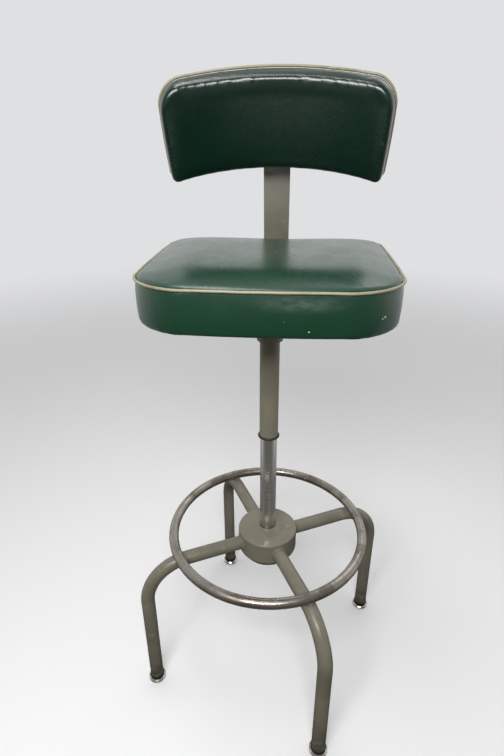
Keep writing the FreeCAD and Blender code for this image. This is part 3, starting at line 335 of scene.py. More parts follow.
leg_names = ("right", "rear", "left", "front")
leg_turn = {}
for name in leg_names:
    low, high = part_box("glide_cup_" + name)
    leg_turn[name] = math.atan2((low.y + high.y) / 2, (low.x + high.x) / 2)
hub_low, hub_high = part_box("hub_shell")
hub_radius = (hub_high.x - hub_low.x) / 2
ring_low, ring_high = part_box("foot_ring")
ring_height = (ring_low.z + ring_high.z) / 2
ring_tube = (ring_high.z - ring_low.z) / 2
ring_radius = (ring_high.x - ring_low.x) / 2 - ring_tube
arm_radius = 0.0135
arm_height = ring_low.z - arm_radius

bead_steps, bead_sides, bead_radius = 160, 10, 0.0021
around_arm = np.linspace(0.0, 2 * np.pi, bead_steps, endpoint=False)
bead_path = np.stack([
    np.sqrt(hub_radius ** 2 - (arm_radius * np.sin(around_arm)) ** 2),
    -arm_radius * np.sin(around_arm),
    arm_height + arm_radius * np.cos(around_arm),
], axis=1)
ripple = bead_radius * (1 + 0.13 * np.abs(np.sin(13 * around_arm)) + 0.1 * np.sin(3 * around_arm + 1))
bead = tube_grid(bead_path, (1.0, 0.0, 0.0), ripple, bead_sides).reshape(-1, 3)
bead_faces = grid_quads(bead_steps, bead_sides, rows_close=True)
beads = [turn_z(bead, leg_turn[name]) for name in leg_names]
bead_all = np.concatenate([bead_faces + len(bead) * number for number in range(len(beads))])
new_piece("arm_weld_beads", np.concatenate(beads), bead_all, frame_enamel, "base",
          ["arm_welds"])

pad_rows, pad_columns = 9, 40
pad_turn = np.linspace(0.0, 2 * np.pi, pad_columns, endpoint=False)
rise = np.linspace(0.0, 1.0, pad_rows)[:, None]
waist = 0.0082 - 0.0042 * np.sin(np.pi * np.minimum(rise * 1.15, 1.0)) ** 0.8
lumpy = 1 + 0.05 * np.sin(5 * pad_turn + 0.7) + 0.03 * np.sin(9 * pad_turn)
pad_x = ring_radius + waist * lumpy * np.cos(pad_turn)
pad_y = waist * lumpy * 1.15 * np.sin(pad_turn)
arm_top = arm_height + np.sqrt(np.maximum(arm_radius ** 2 - pad_y ** 2, 0.0)) - 0.0008
ring_under = ring_height - np.sqrt(np.maximum(ring_tube ** 2 - (pad_x - ring_radius) ** 2, 0.0)) + 0.0008
pad_points = np.stack([pad_x, pad_y, arm_top * (1 - rise) + ring_under * rise], axis=-1).reshape(-1, 3)
pad_caps = [list(range(pad_columns))[::-1], [(pad_rows - 1) * pad_columns + k for k in range(pad_columns)]]
pad_faces = grid_quads(pad_rows, pad_columns).tolist() + pad_caps
pads, pads_faces = [], []
for number, name in enumerate(leg_names):
    pads.append(turn_z(pad_points, leg_turn[name]))
    pads_faces += [[corner + number * len(pad_points) for corner in face] for face in pad_faces]
new_piece("ring_weld_pads", np.concatenate(pads), pads_faces, frame_enamel, "base",
          ["ring_welds"])


# Post
# Ground and plated tube. The sleeve's end has worn faint rings round it where the seat
# used to be lower, and the tube is browner and duller where it goes into the hub.
wear_ring_heights = (0.419, 0.437, 0.447)


def make_post_plating():
    """Bright plating with lengthwise haze, thin dark rings at set heights, browner and duller at the foot."""
    bright = (0.88, 0.885, 0.89)
    material, tree, shader = new_material("post_plating", bright, 0.12, 1.0)
    height = add(tree, "ShaderNodeSeparateXYZ", {0: place_on(tree)}).outputs["Z"]
    uneven = math_node(tree, "MULTIPLY", noise(tree, 30.0, 3.0), 0.002)
    wavy = math_node(tree, "ADD", height, uneven)
    marks = 0.0
    for number, ring in enumerate(wear_ring_heights):
        away = math_node(tree, "ABSOLUTE", math_node(tree, "SUBTRACT", wavy, ring + 0.001))
        marks = math_node(tree, "ADD", marks, spread(tree, away, 0.0002, 0.0011, 0.5 - 0.1 * number, 0.0))
    streaks = spread(tree, noise(tree, 160.0, 4.0, 0.6, (1.0, 1.0, 0.03)), 0.35, 0.7)
    # Browner and duller where the post goes into the hub, fading out about 4 cm above it.
    browned_foot = math_node(tree, "MULTIPLY", spread(tree, height, 0.345, 0.385, 1.0, 0.0),
                    spread(tree, noise(tree, 60.0, 4.0), 0.25, 0.55))
    spot = add(tree, "ShaderNodeVectorMath", {0: place_on(tree), 1: (-0.0013, -0.0158, 0.5142)},
               operation="DISTANCE").outputs["Value"]
    marks = math_node(tree, "ADD", marks, spread(tree, spot, 0.0008, 0.0014, 0.9, 0.0))
    dimmed = mix(tree, math_node(tree, "MULTIPLY", streaks, 0.35), bright, (0.74, 0.75, 0.76))
    marked = mix(tree, math_node(tree, "ADD", marks, 0.0, clamp=True), dimmed, (0.2, 0.19, 0.18))
    tree.links.new(mix(tree, math_node(tree, "MULTIPLY", browned_foot, 0.7), marked, (0.36, 0.31, 0.25)),
                   shader.inputs["Base Color"])
    gloss = math_node(tree, "ADD", spread(tree, streaks, 0.0, 1.0, 0.17, 0.27),
                      math_node(tree, "MULTIPLY", marks, 0.2))
    tree.links.new(math_node(tree, "ADD", gloss, math_node(tree, "MULTIPLY", browned_foot, 0.12)),
                   shader.inputs["Roughness"])
    bump(tree, shader, math_node(tree, "MULTIPLY", marks, -1.0), 0.12, 0.0003)
    return material


wear("post_chrome", make_post_plating())


# Hand knobs
# Black moulded knobs with scalloped rims, dusty in the hollows, on zinc-plated studs.
wear("knob_black", make_moulded("knob_resin", (0.012, 0.012, 0.013), 0.27, (0.075, 0.072, 0.068), 0.35))


# Seat board
# Birch plywood, sawn to the seat's outline, its plies showing at the edge, its face
# grain running across the seat.
def make_plywood():
    """Long wavy grain across the board, darker pores, and glue lines between the plies."""
    pale = (0.56, 0.41, 0.25)
    material, tree, shader = new_material("plywood", pale, 0.6)
    where = place_on(tree)
    bent = add(tree, "ShaderNodeMapping", {"Vector": where, "Scale": (3.0, 26.0, 26.0)}).outputs[0]
    figure = add(tree, "ShaderNodeTexWave", {"Vector": bent, "Scale": 1.0, "Distortion": 9.0, "Detail": 3.0,
                                             "Detail Scale": 1.5}).outputs["Fac"]
    pores = spread(tree, noise(tree, 240.0, 3.0, 0.6, (0.06, 1.0, 1.0)), 0.55, 0.72)
    ply = 0.0024
    height = add(tree, "ShaderNodeSeparateXYZ", {0: where}).outputs["Z"]
    plies = add(tree, "ShaderNodeMath", {0: height, 1: ply}, operation="MODULO").outputs[0]
    glue = spread(tree, plies, 0.0, 0.0005, 0.6, 0.0)
    grained = mix(tree, math_node(tree, "MULTIPLY", figure, 0.6), pale, (0.44, 0.3, 0.17))
    pored = mix(tree, math_node(tree, "MULTIPLY", pores, 0.6), grained, (0.25, 0.16, 0.09))
    tree.links.new(mix(tree, glue, pored, (0.2, 0.12, 0.07)), shader.inputs["Base Color"])
    bump(tree, shader, math_node(tree, "MULTIPLY", pores, -1.0), 0.3, 0.0004)
    return material


wear("plywood", make_plywood())


# Seat cushion
# Foam on the board under a boxed cover of green vinyl-coated cloth: a top panel and a
# band, sewn together round a piped seam. The foam swells both out from the seam.
def rounded_loop(half_x, half_y, corners, bows, count, taper=0.0):
    """Points and outward normals round a bowed rectangle with rounded corners, seen from above.

    Quarter circles and straight runs are laid end to end, starting at the middle of the
    front, and read at equal steps. Each point then moves out by its side's bow times one
    less the square of its distance from the side's middle, and x grows towards the rear
    by the taper. Corners: front right, rear right, rear left, front left. Bows: front,
    right, rear, left.
    """
    line = [np.array([[0.0, -half_y]])]
    signs = ((1, -1), (1, 1), (-1, 1), (-1, -1))
    for number, ((sx, sy), radius) in enumerate(zip(signs, corners)):
        sweep = np.linspace(0.0, np.pi / 2, 40) + (number - 1) * np.pi / 2
        centre = np.array([sx * (half_x - radius), sy * (half_y - radius)])
        line.append(centre + radius * np.stack([np.cos(sweep), np.sin(sweep)], axis=1))
    line = np.concatenate(line + [line[0]])
    length = np.concatenate([[0.0], np.cumsum(np.linalg.norm(np.diff(line, axis=0), axis=1))])
    step = np.arange(count) / count * length[-1]
    x, y = np.interp(step, length, line[:, 0]), np.interp(step, length, line[:, 1])
    out_x = np.where(x > 0, bows[1], bows[3]) * (1 - (y / half_y) ** 2) * np.abs(x / half_x) ** 3
    out_y = np.where(y > 0, bows[2], bows[0]) * (1 - (x / half_x) ** 2) * np.abs(y / half_y) ** 3
    points = np.stack([(x + np.sign(x) * out_x) * (1 + taper * y / half_x), y + np.sign(y) * out_y], axis=1)
    tangent = np.roll(points, -1, 0) - np.roll(points, 1, 0)
    normals = np.stack([tangent[:, 1], -tangent[:, 0]], axis=1)
    return points, normals / np.linalg.norm(normals, axis=1, keepdims=True)


def drawn_in(points, normals, inset, straight):
    """The loop moved in by inset along its normals, and past straight shrunk to its middle."""
    middle = (points.max(0) + points.min(0)) / 2
    near = points - normals * min(inset, straight)
    reach = np.abs(points - middle).max() - straight
    return middle + (near - middle) * (1 - max(inset - straight, 0.0) / reach)


def dome(points, inset, half_x, half_y, rise, start):
    """Extra height of a stuffed face: nothing at the edge, most in the middle.

    It is the rise times a root of the product of one less the squares of x and y, each as
    a share of its half, brought in smoothly over the ring's first insets up to start.
    """
    room = np.clip(1 - (points[:, :2] / (half_x, half_y)) ** 2, 0.0, 1.0).prod(1)
    share = min(inset / start, 1.0)
    return rise * room ** 0.45 * share * share * (3 - 2 * share)


def closed_skin(rings, low_point, high_point):
    """Points and faces of loops stacked in rows, closed by fans to a point at each end."""
    rows, count = len(rings), len(rings[0])
    points = np.concatenate([np.concatenate(rings), [low_point, high_point]])
    column = np.arange(count)
    after = (column + 1) % count
    low = np.stack([np.full(count, rows * count), after, column], axis=1)
    top = (rows - 1) * count
    high = np.stack([np.full(count, rows * count + 1), top + column, top + after], axis=1)
    return points, grid_quads(rows, count).tolist() + low.tolist() + high.tolist()


def smooth_profile(stations, steps):
    """Inset and height read evenly along a Catmull-Rom curve through the stations."""
    p = np.asarray(stations, float)
    p = np.concatenate([[2 * p[0] - p[1]], p, [2 * p[-1] - p[-2]]])
    pieces = []
    for k in range(1, len(p) - 2):
        s = np.linspace(0.0, 1.0, steps, endpoint=False)[:, None]
        a, b, c, e = p[k - 1], p[k], p[k + 1], p[k + 2]
        pieces.append(0.5 * (2 * b + (c - a) * s + (2 * a - 5 * b + 4 * c - e) * s ** 2
                             + (3 * b - a - 3 * c + e) * s ** 3))
    return np.concatenate(pieces + [p[-2:-1]])


def fill_cover(piece, voxel, held, pressure, reach, eased):
    """Foam swells the cover: cloth pressure with the held vertices fixed, up to a reach.

    The mesh is remade in even quads, puffed for 20 frames without gravity, and each
    vertex's move from where it started is cut back smoothly so that it stays under reach.
    Last, where eased is above 0, vertices move half way to their neighbours' middle, many
    times over, so that the foam's face has no ridges.
    """
    remesh = piece.modifiers.new("even", "REMESH")
    remesh.mode = "VOXEL"
    remesh.voxel_size = voxel
    depsgraph = bpy.context.evaluated_depsgraph_get()
    even = bpy.data.meshes.new_from_object(piece.evaluated_get(depsgraph))
    piece.modifiers.remove(remesh)
    old, piece.data = piece.data, even
    bpy.data.meshes.remove(old)
    count = len(even.vertices)
    start = np.empty(count * 3)
    even.vertices.foreach_get("co", start)
    start = start.reshape(-1, 3)
    group = piece.vertex_groups.new(name="held")
    group.add(np.flatnonzero(held(start)).tolist(), 1.0, "REPLACE")
    cloth = piece.modifiers.new("foam", "CLOTH")
    cloth.settings.quality = 5
    cloth.settings.mass = 0.25
    cloth.settings.tension_stiffness = 25.0
    cloth.settings.compression_stiffness = 25.0
    cloth.settings.shear_stiffness = 12.0
    cloth.settings.bending_stiffness = 4.0
    cloth.settings.use_pressure = True
    cloth.settings.uniform_pressure_force = pressure
    cloth.settings.effector_weights.gravity = 0.0
    cloth.settings.vertex_group_mass = group.name
    cloth.point_cache.frame_start, cloth.point_cache.frame_end = 1, 20
    for moment in range(1, 21):
        bpy.context.scene.frame_set(moment)
    puffed = piece.evaluated_get(bpy.context.evaluated_depsgraph_get())
    end = np.empty(count * 3)
    puffed.data.vertices.foreach_get("co", end)
    piece.modifiers.remove(cloth)
    piece.vertex_groups.clear()
    bpy.context.scene.frame_set(1)
    move = end.reshape(-1, 3) - start
    length = np.linalg.norm(move, axis=1, keepdims=True)
    start = start + move * np.tanh(length / reach) * reach / np.maximum(length, 1e-9)
    edges = np.empty(len(even.edges) * 2, dtype=np.int32)
    even.edges.foreach_get("vertices", edges)
    ends = edges.reshape(-1, 2)
    here, there = np.concatenate([ends[:, 0], ends[:, 1]]), np.concatenate([ends[:, 1], ends[:, 0]])
    number = np.bincount(here, minlength=count)[:, None]
    share = 0.5 * eased(start)[:, None]
    for _ in range(40):
        total = np.stack([np.bincount(here, start[there, axis], count) for axis in range(3)], axis=1)
        start = start + share * (total / number - start)
    even.vertices.foreach_set("co", start.ravel())
    even.polygons.foreach_set("use_smooth", [True] * len(even.polygons))
    finer = piece.modifiers.new("finer", "SUBSURF")
    finer.levels = finer.render_levels = 1
    even.update()


seat_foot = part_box("seat_board")[0].z
seam_low, seam_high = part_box("seat_piping")
seam_height = (seam_low.z + seam_high.z) / 2
welt_radius = (seam_high.z - seam_low.z) / 2
half_width, half_depth = 0.1915, 0.19
seat_taper = 0.036
seat_bows = (0.0054, 0.0042, 0.003, 0.0042)
seat_corners = (0.081, 0.043, 0.043, 0.081)
seat_straight = 0.024
seat_middle = seam_low.y + welt_radius + seat_bows[0] + half_depth
seat_loop, seat_out = rounded_loop(half_width, half_depth, seat_corners, seat_bows, 360, seat_taper)
seat_loop[:, 1] += seat_middle


def seat_ring(inset, height):
    """The seat's outline drawn in by inset, at a height, as points in the frame."""
    flat = drawn_in(seat_loop, seat_out, inset, seat_straight)
    return np.column_stack([flat, np.full(len(flat), height)])


band_profile = smooth_profile([
    (0.03, seat_foot + 0.0004), (0.012, seat_foot + 0.0004), (0.0045, seat_foot + 0.0006),
    (0.0022, seat_foot + 0.0022), (0.0012, seat_foot + 0.01), (0.0002, seat_foot + 0.03),
    (0.0004, seat_foot + 0.05), (0.0012, seam_height - 0.005), (0.002, seam_height - 0.001),
], 6)
crown_profile = smooth_profile([
    (0.003, 0.0018), (0.0045, 0.003), (0.008, 0.0051), (0.014, 0.0069), (0.022, 0.0081), (0.034, 0.0088),
    (0.05, 0.009), (0.07, 0.009), (0.1, 0.009), (0.13, 0.009), (0.16, 0.009), (0.187, 0.009),
], 4)
rings = [seat_ring(inset, height) for inset, height in band_profile]
for inset, height in crown_profile:
    ring = seat_ring(inset, seam_height + height)
    ring[:, 2] += dome(ring[:, :2] - (0.0, seat_middle), inset, half_width, half_depth, 0.009, 0.05)
    sat_in = np.exp(-((ring[:, 0] - 0.01) / 0.085) ** 2 - ((ring[:, 1] - seat_middle - 0.06) / 0.15) ** 2)
    ring[:, 2] -= 0.0042 * sat_in * min(inset / 0.05, 1.0)
    rings.append(ring)
seat_points, seat_faces = closed_skin(
    rings, (0.0, seat_middle, seat_foot + 0.0004), (0.0, seat_middle, rings[-1][:, 2].mean()))


def make_vinyl(name, color, roughness, grain, dulled):
    """Coated cloth: pebbled grain, dull worn areas, fine scuffs and a thin gloss over all.

    Cells of a Voronoi pattern, softened by noise, are the pebbles. The coat is the film.
    Returns the material with its tree, its shader and the colour so far.
    """
    material, tree, shader = new_material(name, color, roughness)
    shader.inputs["Coat Roughness"].default_value = 0.22
    worn = math_node(tree, "MULTIPLY", spread(tree, noise(tree, 7.0, 5.0, 0.6), 0.3, 0.75), dulled)
    dark = tuple(0.8 * part for part in color)
    pale = tuple(1.5 * part + 0.004 for part in color)
    toned = mix(tree, spread(tree, noise(tree, 5.0, 4.0), 0.3, 0.7), color, dark)
    scuffed = mix(tree, math_node(tree, "MULTIPLY", worn, 0.3), toned, pale)
    lines = effect(tree, scratches, Scale=26.0, Amount=0.42, Slant=1.4)["Mask"]
    finished = mix(tree, math_node(tree, "MULTIPLY", lines, 0.15), scuffed, pale)
    tree.links.new(finished, shader.inputs["Base Color"])
    gloss = spread(tree, noise(tree, 48.0, 6.0, 0.65), 0.25, 0.75, roughness - 0.03, roughness + 0.04)
    tree.links.new(math_node(tree, "ADD", gloss, math_node(tree, "MULTIPLY", worn, 0.06)),
                   shader.inputs["Roughness"])
    tree.links.new(spread(tree, worn, 0.0, 1.0, 0.32, 0.22), shader.inputs["Coat Weight"])
    cells = add(tree, "ShaderNodeTexVoronoi", {"Vector": place_on(tree), "Scale": grain, "Smoothness": 0.6},
                feature="SMOOTH_F1").outputs["Distance"]
    pebbles = math_node(tree, "ADD", math_node(tree, "MULTIPLY", cells, -1.0), noise(tree, grain * 0.4, 3.0))
    bump(tree, shader, pebbles, 0.18, 0.0004)
    return material, tree, shader, finished


def make_seat_vinyl():
    """The seat's cloth: a pale grey patch under the front piping, partly rubbed wear and partly painted sheen,
    pricked so that foam shows, and sewn.

    The stitches are short dark dashes beside the seam, placed by the mesh's own attributes.
    """
    material, tree, shader, color = make_vinyl("seat_vinyl", (0.0045, 0.036, 0.0175), 0.27, 900.0, 0.8)
    foam_yellow, sheen_rub_grey, thread_dark = (0.62, 0.55, 0.09), (0.13, 0.165, 0.15), (0.004, 0.012, 0.008)
    pricks = ((0.0588, 0.8378, 0.0012, 1.0), (0.1537, 0.8517, 0.0011, 1.0),
              (0.1572, 0.8535, 0.0014, 1.0), (0.0263, 0.8513, 0.0011, 0.12))
    stitch_pitch, stitch_inset = 0.0034, 0.0042
    flat = {0: place_on(tree), 1: (1.0, 0.0, 1.0)}
    where = add(tree, "ShaderNodeVectorMath", flat, operation="MULTIPLY").outputs[0]
    in_front = spread(tree, add(tree, "ShaderNodeSeparateXYZ", {0: place_on(tree)}).outputs["Y"],
                      -0.12, -0.1, 1.0, 0.0)
    for x, z, size, shown in pricks:
        from_prick = {0: where, 1: (x, 0.0, z)}
        away = add(tree, "ShaderNodeVectorMath", from_prick, operation="DISTANCE").outputs["Value"]
        wavy = math_node(tree, "ADD", away, math_node(tree, "MULTIPLY", noise(tree, 700.0, 2.0), 0.0008))
        speck = math_node(tree, "MULTIPLY", spread(tree, wavy, size * 0.9, size * 1.5, shown, 0.0), in_front)
        color = mix(tree, speck, color, foam_yellow)
    # A pale grey patch on the band under the front piping, right of the middle: part rubbed wear, part painted
    # sheen.
    from_sheen_rub = {0: where, 1: (0.045, 0.0, 0.8745)}
    offset = add(tree, "ShaderNodeVectorMath", from_sheen_rub, operation="SUBTRACT").outputs[0]
    squeeze = {0: offset, 1: (13.0, 0.0, 75.0)}
    squeezed = add(tree, "ShaderNodeVectorMath", squeeze, operation="MULTIPLY").outputs[0]
    reach = add(tree, "ShaderNodeVectorMath", {0: squeezed}, operation="LENGTH").outputs["Value"]
    rubbed = math_node(tree, "MULTIPLY", spread(tree, reach, 0.1, 1.1, 1.0, 0.0),
                       spread(tree, noise(tree, 90.0, 6.0, 0.7, (0.6, 1.0, 1.6)), 0.2, 0.8))
    rubbed = math_node(tree, "MULTIPLY", rubbed, in_front)
    color = mix(tree, math_node(tree, "MULTIPLY", rubbed, 0.5), color, sheen_rub_grey)
    along = add(tree, "ShaderNodeAttribute", attribute_name="seam_along").outputs["Fac"]
    away = add(tree, "ShaderNodeAttribute", attribute_name="seam_away").outputs["Fac"]
    turn = math_node(tree, "MULTIPLY", along, math.pi / stitch_pitch)
    dash = math_node(tree, "ABSOLUTE", math_node(tree, "SINE", turn))
    beside = math_node(tree, "ABSOLUTE", math_node(tree, "SUBTRACT", away, stitch_inset))
    row = spread(tree, beside, 0.0003, 0.0007, 1.0, 0.0)
    stitch = math_node(tree, "MULTIPLY", spread(tree, dash, 0.45, 0.6), row)
    color = mix(tree, math_node(tree, "MULTIPLY", stitch, 0.8), color, thread_dark)
    tree.links.new(color, shader.inputs["Base Color"])
    return material


cushion = new_piece("seat_cover", seat_points, seat_faces, make_seat_vinyl(), "seat_carriage",
                    ["seat_cushion"])


def seat_held(points):
    """The seam and the underside, which the board and the stitching hold still."""
    flat_height = np.abs(points[:, 2] - seam_height)
    outline = points[:, :2]
    away = np.sqrt(((outline[:, None, ::1] - seat_loop[None, ::4]) ** 2).sum(-1)).min(1)
    return (points[:, 2] < seat_foot + 0.004) | ((flat_height < 0.005) & (away < 0.008))


def seat_eased(points):
    """The top panel from 12 mm inside its seam."""
    away = np.sqrt(((points[:, None, :2] - seat_loop[None, ::4]) ** 2).sum(-1)).min(1)
    return np.where(points[:, 2] > seam_height, np.clip((away - 0.012) / 0.02, 0.0, 1.0), 0.0)


fill_cover(cushion, 0.005, seat_held, 3.0, 0.0016, seat_eased)

# Each point of the cover carries its place along the seam, from the middle of the front,
# and its distance from the seam, which is below 0 on the band.
cover_points = np.empty(len(cushion.data.vertices) * 3)
cushion.data.vertices.foreach_get("co", cover_points)
cover_points = cover_points.reshape(-1, 3)
loop_step = np.linalg.norm(np.roll(seat_loop, -1, 0) - seat_loop, axis=1)
loop_length = np.concatenate([[0.0], np.cumsum(loop_step)[:-1]])
loop_length = np.where(loop_length > loop_step.sum() / 2, loop_length - loop_step.sum(), loop_length)
gaps = np.sqrt(((cover_points[:, None, :2] - seat_loop[None]) ** 2).sum(-1))
nearest = gaps.argmin(1)
ahead = seat_loop[(nearest + 1) % len(seat_loop)] - seat_loop[nearest]
past = ((cover_points[:, :2] - seat_loop[nearest]) * ahead).sum(1) / np.linalg.norm(ahead, axis=1)
on_top = cover_points[:, 2] > seam_height
for label, values in (("seam_along", loop_length[nearest] + past),
                      ("seam_away", np.where(on_top, gaps.min(1), -gaps.min(1)))):
    cushion.data.attributes.new(label, "FLOAT", "POINT").data.foreach_set("value", values.astype(np.float32))


# Seat piping
# A cord in folded olive-cream vinyl, sewn into the seam all round. It wanders a little
# and is soiled brown at the handled front, with its ends tucked together at the left.
def make_piping_vinyl():
    """Cream vinyl, soiled in patches and crossed by the fine creases of the bent strip."""
    cream = (0.27, 0.25, 0.16)
    material, tree, shader = new_material("piping_vinyl", cream, 0.38)
    soil = effect(tree, patches, Scale=30.0, Amount=0.5, Edge=0.16)["Mask"]
    deep = effect(tree, patches, Scale=70.0, Amount=0.4, Edge=0.08)["Mask"]
    soiled = mix(tree, math_node(tree, "MULTIPLY", soil, 0.7), cream, (0.16, 0.14, 0.08))
    tree.links.new(mix(tree, math_node(tree, "MULTIPLY", deep, 0.5), soiled, (0.2, 0.15, 0.09)),
                   shader.inputs["Base Color"])
    tree.links.new(spread(tree, noise(tree, 90.0, 4.0), 0.3, 0.7, 0.3, 0.48), shader.inputs["Roughness"])
    bump(tree, shader, noise(tree, 330.0, 3.0), 0.3, 0.0006)
    return material


piping_vinyl = make_piping_vinyl()


def wander(count, seed, waves, size):
    """A smooth closed wave of a given size: a few sines with seeded phases."""
    draw = np.random.default_rng(seed)
    turn = np.linspace(0.0, 2 * np.pi, count, endpoint=False)
    parts = [np.sin(k * turn + draw.uniform(0, 2 * np.pi)) / math.sqrt(k) for k in waves]
    return size * np.sum(parts, axis=0) / math.sqrt(len(waves))


welt_steps = 720
welt_loop, welt_out = rounded_loop(half_width, half_depth, seat_corners, seat_bows, welt_steps, seat_taper)
welt_loop[:, 1] += seat_middle
welt_loop -= welt_out * (0.0004 + wander(welt_steps, 4, (5, 9, 14, 23), 0.0004))[:, None]
welt_path = np.column_stack([welt_loop, seam_height + wander(welt_steps, 7, (3, 7, 12, 19, 31), 0.0007)])
knot_away = np.linalg.norm(welt_loop - (-0.2, 0.0807), axis=1)
welt_fat = welt_radius + wander(welt_steps, 2, (20, 41), 0.0001) + 0.0013 * np.exp(-(knot_away / 0.004) ** 2)
welt_grid = tube_grid(welt_path, (0.0, 0.0, 1.0), welt_fat, 14)
new_piece("seat_welt", welt_grid, grid_quads(welt_steps, 14, rows_close=True), piping_vinyl, "seat_carriage",
          ["seat_piping"])


# Back bar
# Flat steel, bent forward under the seat, in the frame's enamel and a little greyer.
wear("bar_paint", make_enamel("bar_enamel", (0.185, 0.178, 0.14), 0.35))


# Backrest cushion
# Foam on a curved board under a boxed cover of the same cloth, coloured darker than the
# seat's as painted shade. The band runs round from the front panel's soft edge to the piping at the rear edge.
pin = np.array(joint_place["back_tilt"])
back_tilt = math.radians(25.0)
pin_to_rear, pin_to_middle = 0.0166, 0.003
back_curve = 0.42
half_wide, half_tall = 0.1885, 0.079
back_rise = 0.0064
tilt_matrix = np.array([[1.0, 0.0, 0.0], [0.0, math.cos(back_tilt), math.sin(back_tilt)],
                        [0.0, -math.sin(back_tilt), math.cos(back_tilt)]])
back_origin = pin - np.array([0.0, pin_to_rear, pin_to_middle]) @ tilt_matrix


def bent_back(across, depth, up):
    """Flat backrest places carried to the frame.

    Across runs along the rear face's arc, depth is measured in towards the sitter and up
    along the backrest. The middle stands higher than the ends by a parabola, and the
    stuffing keeps the front nearly as wide as the rear.
    """
    turn = across * (1 + 1.3 * depth) / back_curve
    up = up + back_rise * (1 - (across / half_wide) ** 2)
    reach = back_curve - depth
    flat = np.stack([reach * np.sin(turn), reach * np.cos(turn) - back_curve, up], axis=-1)
    return flat @ tilt_matrix + back_origin


arc_half = back_curve * math.asin(half_wide / back_curve)
back_corners = (0.014, 0.037, 0.037, 0.014)
back_bows = (0.0, 0.002, 0.0, 0.002)
back_straight = 0.013
back_loop, back_out = rounded_loop(arc_half, half_tall, back_corners, back_bows, 300)


def back_ring(inset, depth):
    """The backrest's outline drawn in by inset, at a depth from the rear face, bent."""
    flat = drawn_in(back_loop, back_out, inset, back_straight)
    return bent_back(flat[:, 0], np.full(len(flat), depth), flat[:, 1])


side_profile = smooth_profile([
    (0.03, 0.0047), (0.008, 0.0047), (0.0028, 0.005), (0.0012, 0.009), (0.0008, 0.017), (0.001, 0.0235),
    (0.002, 0.0282), (0.0042, 0.0318), (0.0075, 0.0339), (0.0115, 0.0348), (0.018, 0.0352), (0.03, 0.0354),
], 6)
band_rows, face_start, face_rise = 49, 0.0075, 0.0018
back_rings = [back_ring(inset, depth) for inset, depth in side_profile[:band_rows]]
face_profile = side_profile[band_rows:]
for inset in np.concatenate([face_profile[:, 0], np.linspace(0.035, 0.19, 32)]):
    flat = drawn_in(back_loop, back_out, inset, back_straight)
    depth = np.interp(inset, face_profile[:, 0], face_profile[:, 1])
    depth = depth + dome(flat, inset - face_start, arc_half, half_tall, face_rise, 0.05)
    back_rings.append(bent_back(flat[:, 0], depth, flat[:, 1]))
rear_pole = bent_back(np.array(0.0), np.array(0.0047), np.array(0.0))
back_points, back_faces = closed_skin(back_rings, rear_pole, back_rings[-1].mean(0))
# The backrest's cloth is the seat's vinyl at about half its colour: painted shade for a face tilted down and
# forward.
back_vinyl = make_vinyl("back_vinyl", (0.002, 0.0165, 0.0092), 0.25, 900.0, 0.4)[0]
back_cover = new_piece("back_cover", back_points, back_faces, back_vinyl, "backrest",
                       ["back_cushion"])


def back_depth(points):
    """How far points stand from the backrest's rear face, towards the sitter."""
    local = (points - back_origin) @ tilt_matrix.T
    return back_curve - np.hypot(local[:, 0], local[:, 1] + back_curve)


def back_held(points):
    """The rear of the cover, sewn to the piping and drawn over the board."""
    return back_depth(points) < 0.009


def back_eased(points):
    """The front face, inside its rounded edge."""
    return np.clip((back_depth(points) - 0.0343) / 0.0012, 0.0, 1.0)


fill_cover(back_cover, 0.004, back_held, 3.0, 0.0015, back_eased)


# Backrest piping and rear panel
# The cord runs round the rear edge, where band and rear panel meet. The panel is the
# same cloth, in the backrest's darker painted-shade colour, on thin board, let in flush behind the cord.
rim_steps = 600
rim_loop, rim_out = rounded_loop(arc_half, half_tall, back_corners, back_bows, rim_steps)
rim_loop -= rim_out * (0.0006 + wander(rim_steps, 11, (5, 9, 16), 0.0003))[:, None]
rim_path = bent_back(rim_loop[:, 0], 0.0021 + wander(rim_steps, 13, (4, 8, 15, 27), 0.0004), rim_loop[:, 1])
rim_rear = np.array([0.0, 1.0, 0.0]) @ tilt_matrix
rim_grid = tube_grid(rim_path, rim_rear, welt_radius * 1.1 + wander(rim_steps, 3, (18, 37), 0.0001), 14)
new_piece("back_welt", rim_grid, grid_quads(rim_steps, 14, rows_close=True), piping_vinyl, "backrest",
          ["back_piping"])

panel_profile = smooth_profile([(0.03, 0.0024), (0.0075, 0.0024), (0.0042, 0.0016), (0.005, 0.0004),
                                (0.009, -0.0003), (0.03, -0.0006)], 4)
panel_inner, panel_outer = panel_profile[0, 1], panel_profile[-1, 1]
panel_insets = np.linspace(0.035, 0.19, 20)
panel_rings = [back_ring(inset, panel_inner)[::-1] for inset in panel_insets[::-1]]
panel_rings += [back_ring(inset, depth)[::-1] for inset, depth in panel_profile]
panel_rings += [back_ring(inset, panel_outer)[::-1] for inset in panel_insets]
panel_poles = [bent_back(np.array(0.0), np.array(depth), np.array(0.0))
               for depth in (panel_inner, panel_outer)]
panel_points, panel_faces = closed_skin(panel_rings, *panel_poles)
new_piece("back_rear_panel", panel_points, panel_faces, back_vinyl, "backrest", ["back_panel"])


